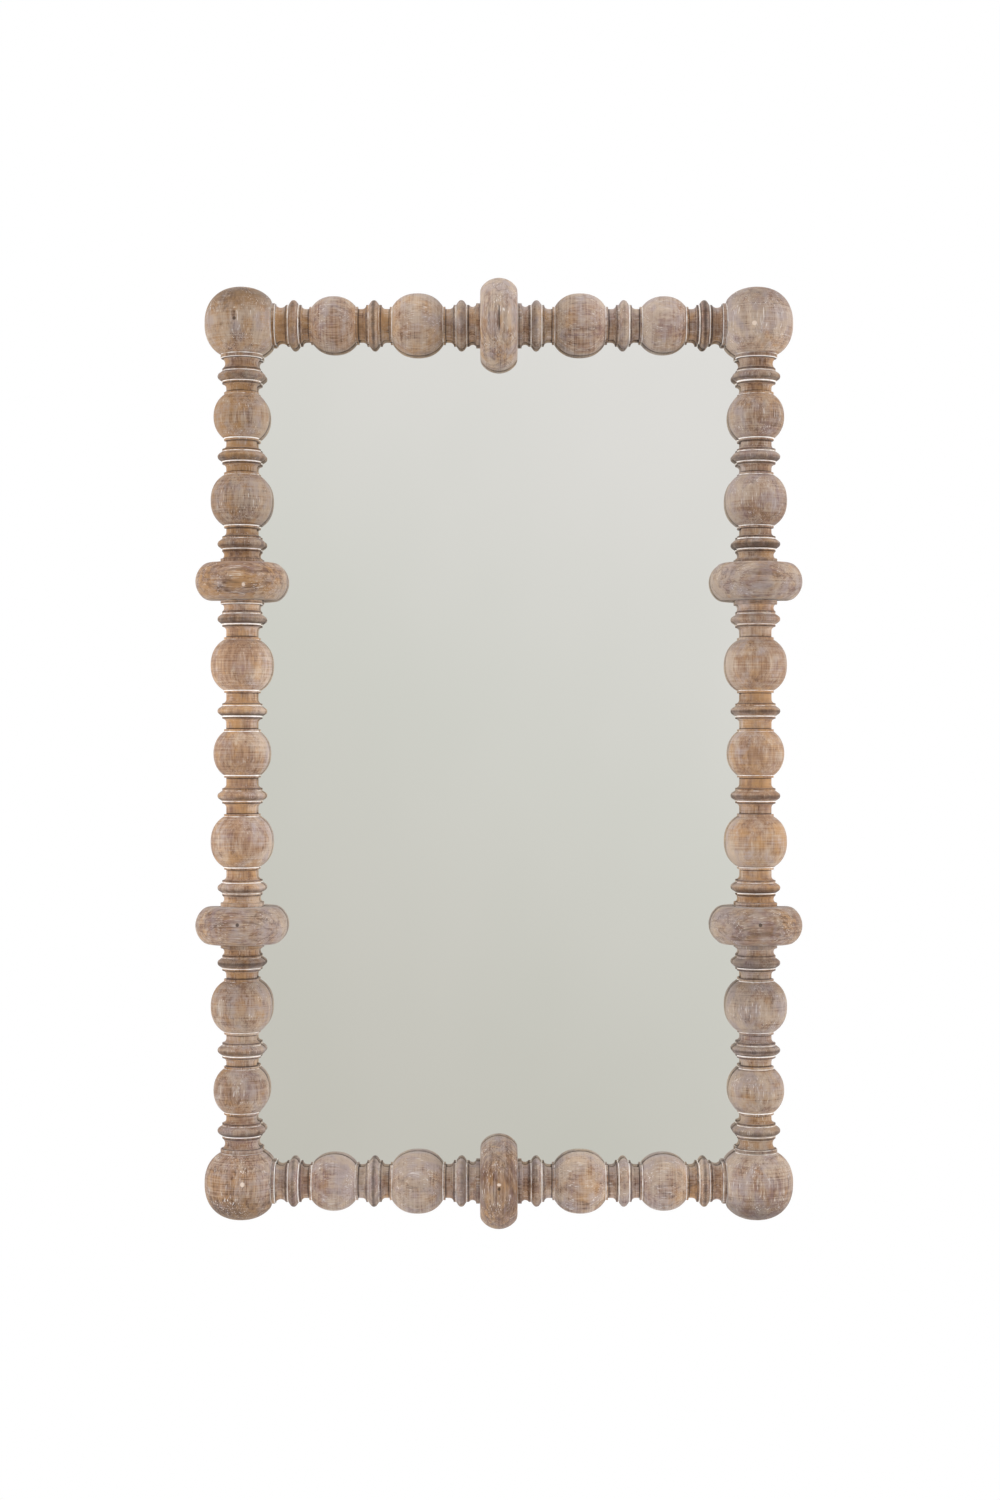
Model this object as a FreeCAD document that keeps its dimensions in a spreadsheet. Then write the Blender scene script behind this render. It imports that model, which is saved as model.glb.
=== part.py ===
# Wall mirror in a frame of turned wooden lengths, all sizes in millimetres.
# X runs to the right as seen from the front, Y runs towards the wall, Z runs up.
# The origin is the middle of the back panel's rear face, which lies against the wall.

import FreeCAD, Part
import math
import os
from types import SimpleNamespace

import Sketcher

SIZES = {
    # corner balls and discs
    "corner_ball_dia": 79,
    "disc_dia": 98.6,
    "disc_thickness": 39.8,
    "disc_rim_depth": 15,
    "disc_shoulder_share": 0.7,
    # turned lengths: balls with a thin lip at each foot, beads on a ring, necks, coves, end collars
    "small_ball_dia": 60,
    "large_ball_dia": 66,
    "lip_dia": 37.6,
    "lip_width": 2.6,
    "neck_dia": 32.8,
    "short_neck_length": 8.8,
    "long_neck_length": 11.27,
    "bead_dia": 51.6,
    "bead_width": 11,
    "bead_nose_share": 0.7,
    "ring_dia": 41.5,
    "ring_width": 2.7,
    "collar_dia": 45,
    "collar_width": 4.5,
    "corner_cove_length": 11,
    "disc_cove_length": 7.6,
    "cove_depth_share": 0.28,
    # flat planed along the back of every turning, measured from its axis
    "flat_offset": 10,
    # round tenons and their glued sockets
    "tenon_dia": 16,
    "tenon_chamfer": 1.5,
    "tenon_clearance": 0.08,
    "tenon_tip_gap": 1,
    "socket_web": 4,
    # spacer strips, measured from the axis of the turnings
    "strip_thickness": 6,
    "strip_outer_reach": 14,
    "strip_inner_reach": 7,
    # mirror glass and the foam tape behind it
    "glass_thickness": 4,
    "glass_edge_gap": 1.5,
    "glass_arris": 0.6,
    "tape_thickness": 1.6,
    "tape_width": 25,
    "tape_length": 760,
    "tape_pitch": 120,
    # back panel
    "panel_thickness": 12,
    "panel_chamfer": 1,
    # screws that hold panel, strips and turnings together
    "screw_dia": 4,
    "screw_length": 40,
    "screw_head_dia": 8,
    "screw_sink": 0.2,
    "screw_point_length": 4,
    "screw_clearance": 0.15,
    "pilot_spare_depth": 2,
    # hangers in their recesses
    "hanger_spacing": 380,
    "hanger_height": 250,
    "recess_depth": 5.5,
    "recess_corner_radius": 6,
    "recess_margin": 3.2,
    "hook_room": 7,
    "strap_thickness": 1.6,
    "strap_width": 14,
    "strap_length": 38,
    "strap_corner_radius": 4,
    "strap_hole_first": 23,
    "strap_hole_pitch": 9,
    "knuckle_wall": 0.8,
    "ring_wire_dia": 2.6,
    "ring_play": 0.08,
    "ring_inner_width": 20,
    "ring_inner_height": 14,
    "ring_bend_radius": 3,
    "ring_rest_tilt": 4,
    "hanger_screw_dia": 3.5,
    "hanger_screw_length": 7,
    "hanger_head_dia": 6.6,
    "hanger_head_height": 2,
    "hanger_point_length": 2.2,
    # every cut runs past the piece by this much
    "cut_overrun": 5,
}

# Places of the tape strips across the panel, as shares of their pitch.
TAPE_PLACE_SHARES = (-1.5, -0.5, 0.5, 1.5)

# Which side of its chord an arc bulges to, seen along the way the outline is drawn.
OUTWARD = 1
INWARD = -1

doc = FreeCAD.newDocument("beaded_mirror")


class Size:
    """A size with its number, for drawing, and its formula, which binds it to the sheet."""

    def __init__(self, value, formula):
        self.value = value
        self.formula = formula

    def __add__(self, other):
        return Size(self.value + other.value, f"({self.formula} + {other.formula})")

    def __sub__(self, other):
        return Size(self.value - other.value, f"({self.formula} - {other.formula})")

    def __mul__(self, other):
        other = as_size(other)
        return Size(self.value * other.value, f"({self.formula} * {other.formula})")

    def __truediv__(self, other):
        other = as_size(other)
        return Size(self.value / other.value, f"({self.formula} / {other.formula})")

    def __neg__(self):
        return Size(-self.value, f"(-1 * {self.formula})")


def as_size(number):
    """Return a plain factor as a size, and a size as it is."""
    if isinstance(number, Size):
        return number
    return Size(number, str(number))


def root(size):
    """Return the square root of a size."""
    return Size(math.sqrt(size.value), f"sqrt({size.formula})")


def other_leg(longest, leg):
    """Return the second leg of a right triangle from its longest side and one leg."""
    return root(longest * longest - leg * leg)


def fill_sheet(sizes):
    """Write the driving sizes to a sheet and return them by name."""
    sheet = doc.addObject("Spreadsheet::Sheet", "Dims")
    named = {}
    for row, (alias, value) in enumerate(sizes.items(), start=1):
        sheet.set(f"A{row}", alias)
        sheet.set(f"B{row}", str(value))
        sheet.setAlias(f"B{row}", alias)
        named[alias] = Size(value, f"Dims.{alias}")
    doc.recompute()
    return SimpleNamespace(**named)


ZERO = Size(0, "0")
size = fill_sheet(SIZES)
follows = doc.addObject("App::VarSet", "Follows")


def derived(name, formed):
    """Keep a size that follows from others under a name of its own, bound to them."""
    follows.addProperty("App::PropertyFloat", name)
    setattr(follows, name, formed.value)
    follows.setExpression(name, formed.formula)
    return Size(formed.value, f"Follows.{name}")


# Sizes that follow from the driving ones.
corner_ball_radius = size.corner_ball_dia / 2
disc_radius = size.disc_dia / 2
disc_half = size.disc_thickness / 2
lip_radius = size.lip_dia / 2
neck_radius = size.neck_dia / 2
bead_radius = size.bead_dia / 2
ring_radius = size.ring_dia / 2
collar_radius = size.collar_dia / 2
tenon_radius = size.tenon_dia / 2
bore_radius = tenon_radius + size.tenon_clearance
neck_cove = derived("neck_cove", ring_radius - neck_radius)
corner_seat = derived("corner_seat", other_leg(corner_ball_radius, collar_radius))
socket_floor = derived("socket_floor", bore_radius + size.socket_web)
corner_tenon = derived("corner_tenon", corner_seat - socket_floor - size.tenon_tip_gap)
disc_tenon = derived("disc_tenon", disc_half - size.tenon_tip_gap / 2)
small_half_chord = derived("small_half_chord", other_leg(size.small_ball_dia / 2, lip_radius))
large_half_chord = derived("large_half_chord", other_leg(size.large_ball_dia / 2, lip_radius))
axis_depth = derived("axis_depth", size.panel_thickness + size.strip_thickness + size.flat_offset)
screw_radius = size.screw_dia / 2
screw_hole_dia = size.screw_dia + size.screw_clearance * 2
screw_bite = size.screw_length + size.screw_sink - size.panel_thickness - size.strip_thickness

# A bead's flanks are tangent to its rounded nose; both are worked out from its middle on its ring.
bead_half = size.bead_width / 2
bead_nose = bead_half * size.bead_nose_share
bead_rise = bead_radius - ring_radius - bead_nose
bead_reach = derived("bead_reach", root(bead_half * bead_half + bead_rise * bead_rise))
bead_flank = derived("bead_flank", other_leg(bead_reach, bead_nose))
bead_lean = bead_nose / (bead_reach * bead_reach)
nose_across = derived("nose_across", (bead_half * bead_nose + bead_rise * bead_flank) * bead_lean)
nose_up = derived("nose_up", bead_rise + (bead_half * bead_flank - bead_rise * bead_nose) * bead_lean)


class Turning:
    """Half outline of a turned length, drawn from its first tenon to its last along the axis.

    The places along the axis are kept as stations, like the marks on a turner's story stick.
    """

    def __init__(self, name, seat, tenon):
        self.name = name
        self.stations = 0
        self.place = seat - tenon
        self.corners = []
        self.large_balls = []
        self.corner(ZERO)
        self.corner(tenon_radius - size.tenon_chamfer)
        self.advance(size.tenon_chamfer)
        self.corner(tenon_radius)
        self.place = seat
        self.corner(tenon_radius)

    def corner(self, radius, bend=None):
        """Put a corner of the outline at the present place; bend shapes the edge that leaves it."""
        self.corners.append((self.place, radius, bend))

    def advance(self, length):
        """Move along the axis to the next station."""
        self.stations += 1
        self.place = derived(f"{self.name}_station_{self.stations}", self.place + length)

    def collar(self):
        """Add the plain collar that seats on a corner ball or a disc."""
        self.corner(collar_radius)
        self.advance(size.collar_width)
        self.corner(collar_radius)

    def cove(self, length):
        """Add the hollow between a collar and a bead."""
        depth = length * size.cove_depth_share
        bend_radius = (length * length / 4 + depth * depth) / (depth * 2)
        self.corner(ring_radius, (bend_radius, INWARD))
        self.advance(length)
        self.corner(ring_radius)

    def bead(self):
        """Add a bead with a rounded edge, standing on a ring that shows at both sides of it."""
        self.advance(size.ring_width)
        self.corner(ring_radius)
        self.advance(bead_half - nose_across)
        self.corner(ring_radius + nose_up, (bead_nose, OUTWARD))
        self.advance(nose_across * 2)
        self.corner(ring_radius + nose_up)
        self.advance(bead_half - nose_across)
        self.corner(ring_radius)
        self.advance(size.ring_width)

    def neck_to_ball(self, length):
        """Add a neck that leaves a bead in a small cove and runs straight to a ball's lip."""
        self.corner(ring_radius, (neck_cove, INWARD))
        self.advance(neck_cove)
        self.corner(neck_radius)
        self.advance(length - neck_cove)
        self.corner(neck_radius)

    def neck_to_bead(self, length):
        """Add a neck that runs straight from a ball's lip and ends in a small cove at a bead."""
        self.corner(neck_radius)
        self.advance(length - neck_cove)
        self.corner(neck_radius, (neck_cove, INWARD))
        self.advance(neck_cove)
        self.corner(ring_radius)

    def ball(self, diameter, half_chord):
        """Add a ball with its lips and return the place of its centre."""
        self.corner(lip_radius)
        self.advance(size.lip_width)
        centre = self.place + half_chord
        self.corner(lip_radius, (diameter / 2, OUTWARD))
        self.advance(half_chord * 2)
        self.corner(lip_radius)
        self.advance(size.lip_width)
        self.corner(lip_radius)
        return centre

    def small_ball(self, neck):
        """Add a small ball between two necks."""
        self.neck_to_ball(neck)
        self.ball(size.small_ball_dia, small_half_chord)
        self.neck_to_bead(neck)

    def large_ball(self, neck):
        """Add a large ball between two necks and note its centre, where a screw goes."""
        self.neck_to_ball(neck)
        self.large_balls.append(self.ball(size.large_ball_dia, large_half_chord))
        self.neck_to_bead(neck)

    def finish(self, tenon):
        """Add the last tenon."""
        self.seat = self.place
        self.corner(tenon_radius)
        self.advance(tenon - size.tenon_chamfer)
        self.corner(tenon_radius)
        self.advance(size.tenon_chamfer)
        self.corner(tenon_radius - size.tenon_chamfer)
        self.corner(ZERO)


def short_turning():
    """Return the outline from a corner ball's centre to the disc beside it."""
    turning = Turning("short", corner_seat, corner_tenon)
    turning.collar()
    turning.cove(size.corner_cove_length)
    turning.bead()
    turning.small_ball(size.short_neck_length)
    turning.bead()
    turning.large_ball(size.short_neck_length)
    turning.bead()
    turning.cove(size.disc_cove_length)
    turning.collar()
    turning.finish(disc_tenon)
    return turning


def long_turning():
    """Return the outline from one disc's centre to the next disc on a stile."""
    turning = Turning("long", disc_half, disc_tenon)
    turning.collar()
    turning.cove(size.disc_cove_length)
    turning.bead()
    turning.large_ball(size.long_neck_length)
    turning.bead()
    turning.small_ball(size.long_neck_length)
    turning.bead()
    turning.large_ball(size.long_neck_length)
    turning.bead()
    turning.cove(size.disc_cove_length)
    turning.collar()
    turning.finish(disc_tenon)
    return turning


short = short_turning()
long = long_turning()
long_pitch = derived("long_pitch", long.seat + disc_half)
half_width = derived("half_width", short.seat + disc_half)
half_height = derived("half_height", half_width + long_pitch / 2)


def bind(thing, path, bound):
    """Bind one property of an object to the sheet."""
    thing.setExpression(path, bound.formula)


def new_body(label):
    """Add an empty body."""
    body = doc.addObject("PartDesign::Body", label)
    body.Label = label
    return body


def place(thing, x, y, z, quarter_turns=0):
    """Put a piece at a bound place, turned about Y by quarter turns."""
    quarter = math.degrees(math.pi / 2)
    turn = FreeCAD.Rotation(FreeCAD.Vector(0, 1, 0), quarter * quarter_turns)
    thing.Placement = FreeCAD.Placement(FreeCAD.Vector(x.value, y.value, z.value), turn)
    bind(thing, ".Placement.Base.x", x)
    bind(thing, ".Placement.Base.y", y)
    bind(thing, ".Placement.Base.z", z)


def new_sketch(body, label, role, offset=None):
    """Add a sketch on one of the body's own origin planes, or at an offset from it."""
    sketch = body.newObject("Sketcher::SketchObject", label)
    plane = [feature for feature in body.Origin.OriginFeatures if feature.Role == role][0]
    sketch.AttachmentSupport = (plane, [""])
    sketch.MapMode = "FlatFace"
    if offset is not None:
        sketch.AttachmentOffset = FreeCAD.Placement(FreeCAD.Vector(0, 0, offset.value), FreeCAD.Rotation())
        bind(sketch, ".AttachmentOffset.Base.z", offset)
    return sketch


def pin(constraints, formulas, edge, end, across, up):
    """Hold one end of an edge at a place measured from the sketch's origin."""
    if across is ZERO:
        constraints.append(Sketcher.Constraint("PointOnObject", edge, end, -2))
    else:
        formulas[len(constraints)] = across.formula
        constraints.append(Sketcher.Constraint("DistanceX", -1, 1, edge, end, across.value))
    if up is ZERO:
        constraints.append(Sketcher.Constraint("PointOnObject", edge, end, -1))
    else:
        formulas[len(constraints)] = up.formula
        constraints.append(Sketcher.Constraint("DistanceY", -1, 1, edge, end, up.value))


def apply(sketch, constraints, formulas):
    """Add constraints to a sketch and bind those that carry a size."""
    first = sketch.ConstraintCount
    sketch.addConstraint(constraints)
    for index, formula in formulas.items():
        sketch.setExpression(f"Constraints[{first + index}]", formula)


def drawn_edge(start, end, bend):
    """Return an edge with the numbers of its two ends: straight, or an arc under half a turn."""
    if bend is None:
        return Part.LineSegment(start, end), 1, 2
    radius, side = bend
    middle = (start + end) / 2
    way = end - start
    left = FreeCAD.Vector(-way.y, way.x, 0).normalize()
    rise = math.sqrt(max(radius.value ** 2 - (way.Length / 2) ** 2, 0))
    centre = middle - left * rise * side
    circle = Part.Circle(centre, FreeCAD.Vector(0, 0, 1), radius.value)
    first = end if side == OUTWARD else start
    last = start if side == OUTWARD else end
    first_angle = math.atan2(first.y - centre.y, first.x - centre.x)
    last_angle = math.atan2(last.y - centre.y, last.x - centre.x)
    if last_angle < first_angle:
        last_angle += math.tau
    arc = Part.ArcOfCircle(circle, first_angle, last_angle)
    if side == OUTWARD:
        return arc, 2, 1
    return arc, 1, 2


def draw_outline(sketch, corners):
    """Draw a closed outline: each corner has its place and the bend of the edge that leaves it."""
    points = [FreeCAD.Vector(across.value, up.value, 0) for across, up, bend in corners]
    edges = []
    for index, (across, up, bend) in enumerate(corners):
        edges.append(drawn_edge(points[index], points[(index + 1) % len(points)], bend))
    base = sketch.GeometryCount
    sketch.addGeometry([edge for edge, start, end in edges], False)
    constraints = []
    formulas = {}
    for index, (across, up, bend) in enumerate(corners):
        edge, start, end = edges[index]
        follower = (index + 1) % len(corners)
        pin(constraints, formulas, base + index, start, across, up)
        joined = (base + index, end, base + follower, edges[follower][1])
        constraints.append(Sketcher.Constraint("Coincident", *joined))
        if bend is not None:
            formulas[len(constraints)] = bend[0].formula
            constraints.append(Sketcher.Constraint("Radius", base + index, bend[0].value))
    apply(sketch, constraints, formulas)


def draw_circles(sketch, places, radius):
    """Draw circles of one size at bound places."""
    base = sketch.GeometryCount
    axis = FreeCAD.Vector(0, 0, 1)
    circles = []
    for across, up in places:
        circles.append(Part.Circle(FreeCAD.Vector(across.value, up.value, 0), axis, radius.value))
    sketch.addGeometry(circles, False)
    constraints = []
    formulas = {}
    for index, (across, up) in enumerate(places):
        pin(constraints, formulas, base + index, 3, across, up)
        formulas[len(constraints)] = radius.formula
        constraints.append(Sketcher.Constraint("Radius", base + index, radius.value))
    apply(sketch, constraints, formulas)


def box_corners(left, bottom, right, top):
    """Return the corners of a rectangle."""
    return [(left, bottom, None), (right, bottom, None), (right, top, None), (left, top, None)]


def rounded_corners(left, bottom, right, top, radius):
    """Return the corners of a rectangle with rounded corners."""
    bend = (radius, INWARD)
    return [
        (left + radius, bottom, None),
        (right - radius, bottom, bend),
        (right, bottom + radius, None),
        (right, top - radius, bend),
        (right - radius, top, None),
        (left + radius, top, bend),
        (left, top - radius, None),
        (left, bottom + radius, bend),
    ]


def revolve(body, label, role, corners, axis):
    """Turn an outline all the way round an axis of its sketch."""
    sketch = new_sketch(body, f"{label}_outline", role)
    draw_outline(sketch, corners)
    turned = body.newObject("PartDesign::Revolution", label)
    turned.Profile = sketch
    turned.ReferenceAxis = (sketch, [axis])
    return turned


def pad(body, label, sketch, length, both_ways=False):
    """Raise a sketch to a bound length."""
    raised = body.newObject("PartDesign::Pad", label)
    raised.Profile = sketch
    if both_ways:
        raised.SideType = "Symmetric"
    raised.Length = length.value
    bind(raised, "Length", length)
    return raised


def pocket(body, label, sketch, depth, reverse=True):
    """Cut a sketch to a bound depth."""
    cut = body.newObject("PartDesign::Pocket", label)
    cut.Profile = sketch
    cut.Reversed = reverse
    cut.Length = depth.value
    bind(cut, "Length", depth)
    return cut


def plane_back(body, label, start, end, reach):
    """Plane the flat along the back of a turning, from start to end of its axis."""
    sketch = new_sketch(body, f"{label}_flat_outline", "XY_Plane")
    left = start - size.cut_overrun
    right = end + size.cut_overrun
    draw_outline(sketch, box_corners(left, size.flat_offset, right, reach + size.cut_overrun))
    cut = body.newObject("PartDesign::Pocket", f"{label}_flat")
    cut.Profile = sketch
    cut.SideType = "Symmetric"
    cut.Length = (reach.value + size.cut_overrun.value) * 2
    bind(cut, "Length", (reach + size.cut_overrun) * 2)


def drill_pilots(body, label, places):
    """Drill the blind holes for the screws into the planed back."""
    sketch = new_sketch(body, f"{label}_pilot_outline", "XZ_Plane", -size.flat_offset)
    draw_circles(sketch, places, screw_hole_dia / 2)
    pocket(body, f"{label}_pilot", sketch, screw_bite + size.pilot_spare_depth)


def spindle(label, turning, x, z, quarter_turns):
    """Build one turned length that starts at the centre of a corner ball or disc."""
    body = new_body(label)
    revolve(body, f"{label}_turned", "XY_Plane", turning.corners, "H_Axis")
    plane_back(body, label, turning.corners[0][0], turning.corners[-1][0], size.large_ball_dia / 2)
    drill_pilots(body, label, [(centre, ZERO) for centre in turning.large_balls])
    place(body, x, -axis_depth, z, quarter_turns)
    return body


def corner_ball(label, x, z, quarter_turns):
    """Build a corner ball with a seat and a socket for a rail and for a stile."""
    body = new_body(label)
    rail_side = [
        (-corner_ball_radius, ZERO, (corner_ball_radius, OUTWARD)),
        (corner_seat, collar_radius, None),
        (corner_seat, bore_radius, None),
        (socket_floor, bore_radius, None),
        (socket_floor, ZERO, None),
    ]
    revolve(body, f"{label}_turned", "XY_Plane", rail_side, "H_Axis")
    reach = corner_ball_radius + size.cut_overrun
    stile_side = [
        (ZERO, socket_floor, None),
        (bore_radius, socket_floor, None),
        (bore_radius, corner_seat, None),
        (reach, corner_seat, None),
        (reach, reach, None),
        (ZERO, reach, None),
    ]
    sketch = new_sketch(body, f"{label}_stile_outline", "YZ_Plane")
    draw_outline(sketch, stile_side)
    seat = body.newObject("PartDesign::Groove", f"{label}_stile_seat")
    seat.Profile = sketch
    seat.ReferenceAxis = (sketch, ["V_Axis"])
    plane_back(body, label, -corner_ball_radius, corner_ball_radius, corner_ball_radius)
    drill_pilots(body, label, [(ZERO, ZERO)])
    place(body, x, -axis_depth, z, quarter_turns)
    return body


def disc(label, x, z, quarter_turns):
    """Build a thick disc with a rounded rim, bored through for the tenons at both its sides."""
    body = new_body(label)
    shoulder = size.disc_rim_depth * size.disc_shoulder_share
    inset = disc_half - shoulder
    depth = size.disc_rim_depth
    crown = (inset * inset + depth * depth - shoulder * shoulder) / ((depth - shoulder) * 2)
    join = crown / (crown - shoulder)
    join_across = inset * join
    join_up = disc_radius - crown + (crown - depth) * join
    rim_foot = disc_radius - depth
    corners = [
        (-disc_half, bore_radius, None),
        (-disc_half, rim_foot, (shoulder, OUTWARD)),
        (-join_across, join_up, (crown, OUTWARD)),
        (join_across, join_up, (shoulder, OUTWARD)),
        (disc_half, rim_foot, None),
        (disc_half, bore_radius, None),
    ]
    revolve(body, f"{label}_turned", "XY_Plane", corners, "H_Axis")
    plane_back(body, label, -disc_half, disc_half, disc_radius)
    place(body, x, -axis_depth, z, quarter_turns)
    return body


def turned_frame():
    """Build the corner balls, discs and turned lengths of the frame."""
    left = -half_width
    right = half_width
    bottom = -half_height
    top = half_height
    lower = -long_pitch / 2
    upper = long_pitch / 2
    return [
        corner_ball("corner_ball_bottom_left", left, bottom, 0),
        corner_ball("corner_ball_top_left", left, top, 1),
        corner_ball("corner_ball_top_right", right, top, 2),
        corner_ball("corner_ball_bottom_right", right, bottom, 3),
        disc("disc_top", ZERO, top, 0),
        disc("disc_bottom", ZERO, bottom, 0),
        disc("disc_left_upper", left, upper, 1),
        disc("disc_left_lower", left, lower, 1),
        disc("disc_right_upper", right, upper, 1),
        disc("disc_right_lower", right, lower, 1),
        spindle("spindle_top_left", short, left, top, 0),
        spindle("spindle_top_right", short, right, top, 2),
        spindle("spindle_bottom_left", short, left, bottom, 0),
        spindle("spindle_bottom_right", short, right, bottom, 2),
        spindle("spindle_left_upper", short, left, top, 1),
        spindle("spindle_left_middle", long, left, upper, 1),
        spindle("spindle_left_lower", short, left, bottom, 3),
        spindle("spindle_right_upper", short, right, top, 1),
        spindle("spindle_right_middle", long, right, lower, 3),
        spindle("spindle_right_lower", short, right, bottom, 3),
    ]


def frame_screw_places():
    """Return the places of the screws: at each corner ball and each large ball, by side of the frame."""
    along_rail = half_width - short.large_balls[0]
    along_stile = half_height - short.large_balls[0]
    middles = [centre - long_pitch / 2 for centre in long.large_balls]
    places = {"top": [], "bottom": [], "left": [], "right": []}
    for side, height in (("top", half_height), ("bottom", -half_height)):
        for across in (-half_width, -along_rail, along_rail, half_width):
            places[side].append((across, height))
    for side, across in (("left", -half_width), ("right", half_width)):
        for height in (-along_stile, middles[0], middles[1], along_stile):
            places[side].append((across, height))
    return places


def plate(label, width, height, thickness):
    """Build a flat plate that reaches forward from its rear face, centred on its own origin."""
    body = new_body(label)
    sketch = new_sketch(body, f"{label}_outline", "XZ_Plane")
    draw_outline(sketch, box_corners(-width / 2, -height / 2, width / 2, height / 2))
    pad(body, f"{label}_plate", sketch, thickness)
    return body


def spacer_strip(label, width, height, x, z, places):
    """Build a strip between the turnings and the back panel, drilled for the frame screws."""
    body = plate(label, width, height, size.strip_thickness)
    local = []
    for across, up in places:
        local.append((across if x is ZERO else across - x, up if z is ZERO else up - z))
    sketch = new_sketch(body, f"{label}_hole_outline", "XZ_Plane")
    draw_circles(sketch, local, screw_hole_dia / 2)
    pocket(body, f"{label}_holes", sketch, size.strip_thickness + size.cut_overrun)
    place(body, x, -size.panel_thickness, z)
    return body


def spacer_strips(places):
    """Build the four strips, the level ones over the full width and the upright ones between them."""
    breadth = size.strip_outer_reach + size.strip_inner_reach
    shift = (size.strip_outer_reach - size.strip_inner_reach) / 2
    full_width = (half_width + size.strip_outer_reach) * 2
    clear_height = (half_height - size.strip_inner_reach) * 2
    rail_line = half_height + shift
    stile_line = half_width + shift
    return [
        spacer_strip("spacer_strip_top", full_width, breadth, ZERO, rail_line, places["top"]),
        spacer_strip("spacer_strip_bottom", full_width, breadth, ZERO, -rail_line, places["bottom"]),
        spacer_strip("spacer_strip_left", breadth, clear_height, -stile_line, ZERO, places["left"]),
        spacer_strip("spacer_strip_right", breadth, clear_height, stile_line, ZERO, places["right"]),
    ]


def chamfer_face(body, label, level, leg):
    """Chamfer the outer edges of a plate's face at a level along Y."""
    doc.recompute()
    base = body.Tip
    near = Part.Precision.approximation()
    names = []
    for index, edge in enumerate(base.Shape.Edges, start=1):
        box = edge.BoundBox
        if abs(box.YMin - level.value) < near and abs(box.YMax - level.value) < near:
            names.append(f"Edge{index}")
    chamfer = body.newObject("PartDesign::Chamfer", label)
    chamfer.Base = (base, names)
    chamfer.Size = leg.value
    bind(chamfer, "Size", leg)
    body.Tip = chamfer


def mirror_glass():
    """Build the glass with an arris ground along its front edges."""
    edge_line = size.strip_inner_reach + size.glass_edge_gap
    width = (half_width - edge_line) * 2
    height = (half_height - edge_line) * 2
    body = plate("mirror_glass", width, height, size.glass_thickness)
    chamfer_face(body, "mirror_glass_arris", -size.glass_thickness, size.glass_arris)
    place(body, ZERO, -size.panel_thickness - size.tape_thickness, ZERO)
    return body


def glass_tape():
    """Build the strips of foam tape between the glass and the panel."""
    strips = []
    for index, share in enumerate(TAPE_PLACE_SHARES, start=1):
        strip = plate(f"tape_strip_{index}", size.tape_width, size.tape_length, size.tape_thickness)
        place(strip, size.tape_pitch * share, -size.panel_thickness, ZERO)
        strips.append(strip)
    tape = doc.addObject("Part::Compound", "glass_tape")
    tape.Links = strips
    return tape


# The hanger turns about this line; its knuckle lies on the floor of the recess.
knuckle_bore = size.ring_wire_dia / 2 + size.ring_play
knuckle_radius = knuckle_bore + size.knuckle_wall
pivot_depth = size.recess_depth - knuckle_radius
hanger_line = size.hanger_spacing / 2
ring_half_width = (size.ring_inner_width + size.ring_wire_dia) / 2
ring_drop = size.ring_inner_height + size.ring_wire_dia
strap_holes = [size.strap_hole_first, size.strap_hole_first + size.strap_hole_pitch]
hanger_hole_dia = size.hanger_screw_dia + size.screw_clearance * 2


def back_panel(places):
    """Build the panel with its countersunk holes and the two recesses for the hangers."""
    width = (half_width + size.strip_outer_reach) * 2
    height = (half_height + size.strip_outer_reach) * 2
    body = plate("back_panel", width, height, size.panel_thickness)
    chamfer_face(body, "back_panel_chamfer", ZERO, size.panel_chamfer)
    every_place = places["top"] + places["bottom"] + places["left"] + places["right"]
    countersunk_holes(body, "back_panel", every_place)
    recess_half = ring_half_width + size.ring_wire_dia / 2 + size.recess_margin
    recess_top = size.hanger_height + ring_drop + size.ring_wire_dia / 2 + size.hook_room
    recess_bottom = size.hanger_height - size.strap_length - size.recess_margin
    sketch = new_sketch(body, "hanger_recess_outline", "XZ_Plane")
    for line in (-hanger_line, hanger_line):
        recess = rounded_corners(
            line - recess_half, recess_bottom, line + recess_half, recess_top, size.recess_corner_radius
        )
        draw_outline(sketch, recess)
    pocket(body, "hanger_recess", sketch, size.recess_depth)
    hole_places = []
    for line in (-hanger_line, hanger_line):
        for drop in strap_holes:
            hole_places.append((line, size.hanger_height - drop))
    sketch = new_sketch(body, "hanger_pilot_outline", "XZ_Plane")
    draw_circles(sketch, hole_places, hanger_hole_dia / 2)
    bite = size.hanger_screw_length - size.strap_thickness
    pocket(body, "hanger_pilot", sketch, size.recess_depth + bite + size.screw_clearance)
    return body


def countersunk_holes(body, label, places):
    """Drill and countersink a hole for each screw, a little wider than the screw and its head."""
    sketch = new_sketch(body, f"{label}_hole_outline", "XZ_Plane")
    draw_circles(sketch, places, screw_hole_dia / 2)
    doc.recompute()
    mouth_dia = size.screw_head_dia + (size.screw_clearance + size.screw_sink) * 2
    holes = body.newObject("PartDesign::Hole", f"{label}_holes")
    holes.Profile = sketch
    holes.Reversed = True
    holes.DepthType = "ThroughAll"
    holes.ThreadType = "None"
    holes.HoleCutType = "Countersink"
    holes.HoleCutCustomValues = True
    holes.HoleCutCountersinkAngle = math.degrees(math.pi / 2)
    holes.Diameter = screw_hole_dia.value
    holes.HoleCutDiameter = mouth_dia.value
    bind(holes, "Diameter", screw_hole_dia)
    bind(holes, "HoleCutDiameter", mouth_dia)


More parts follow.
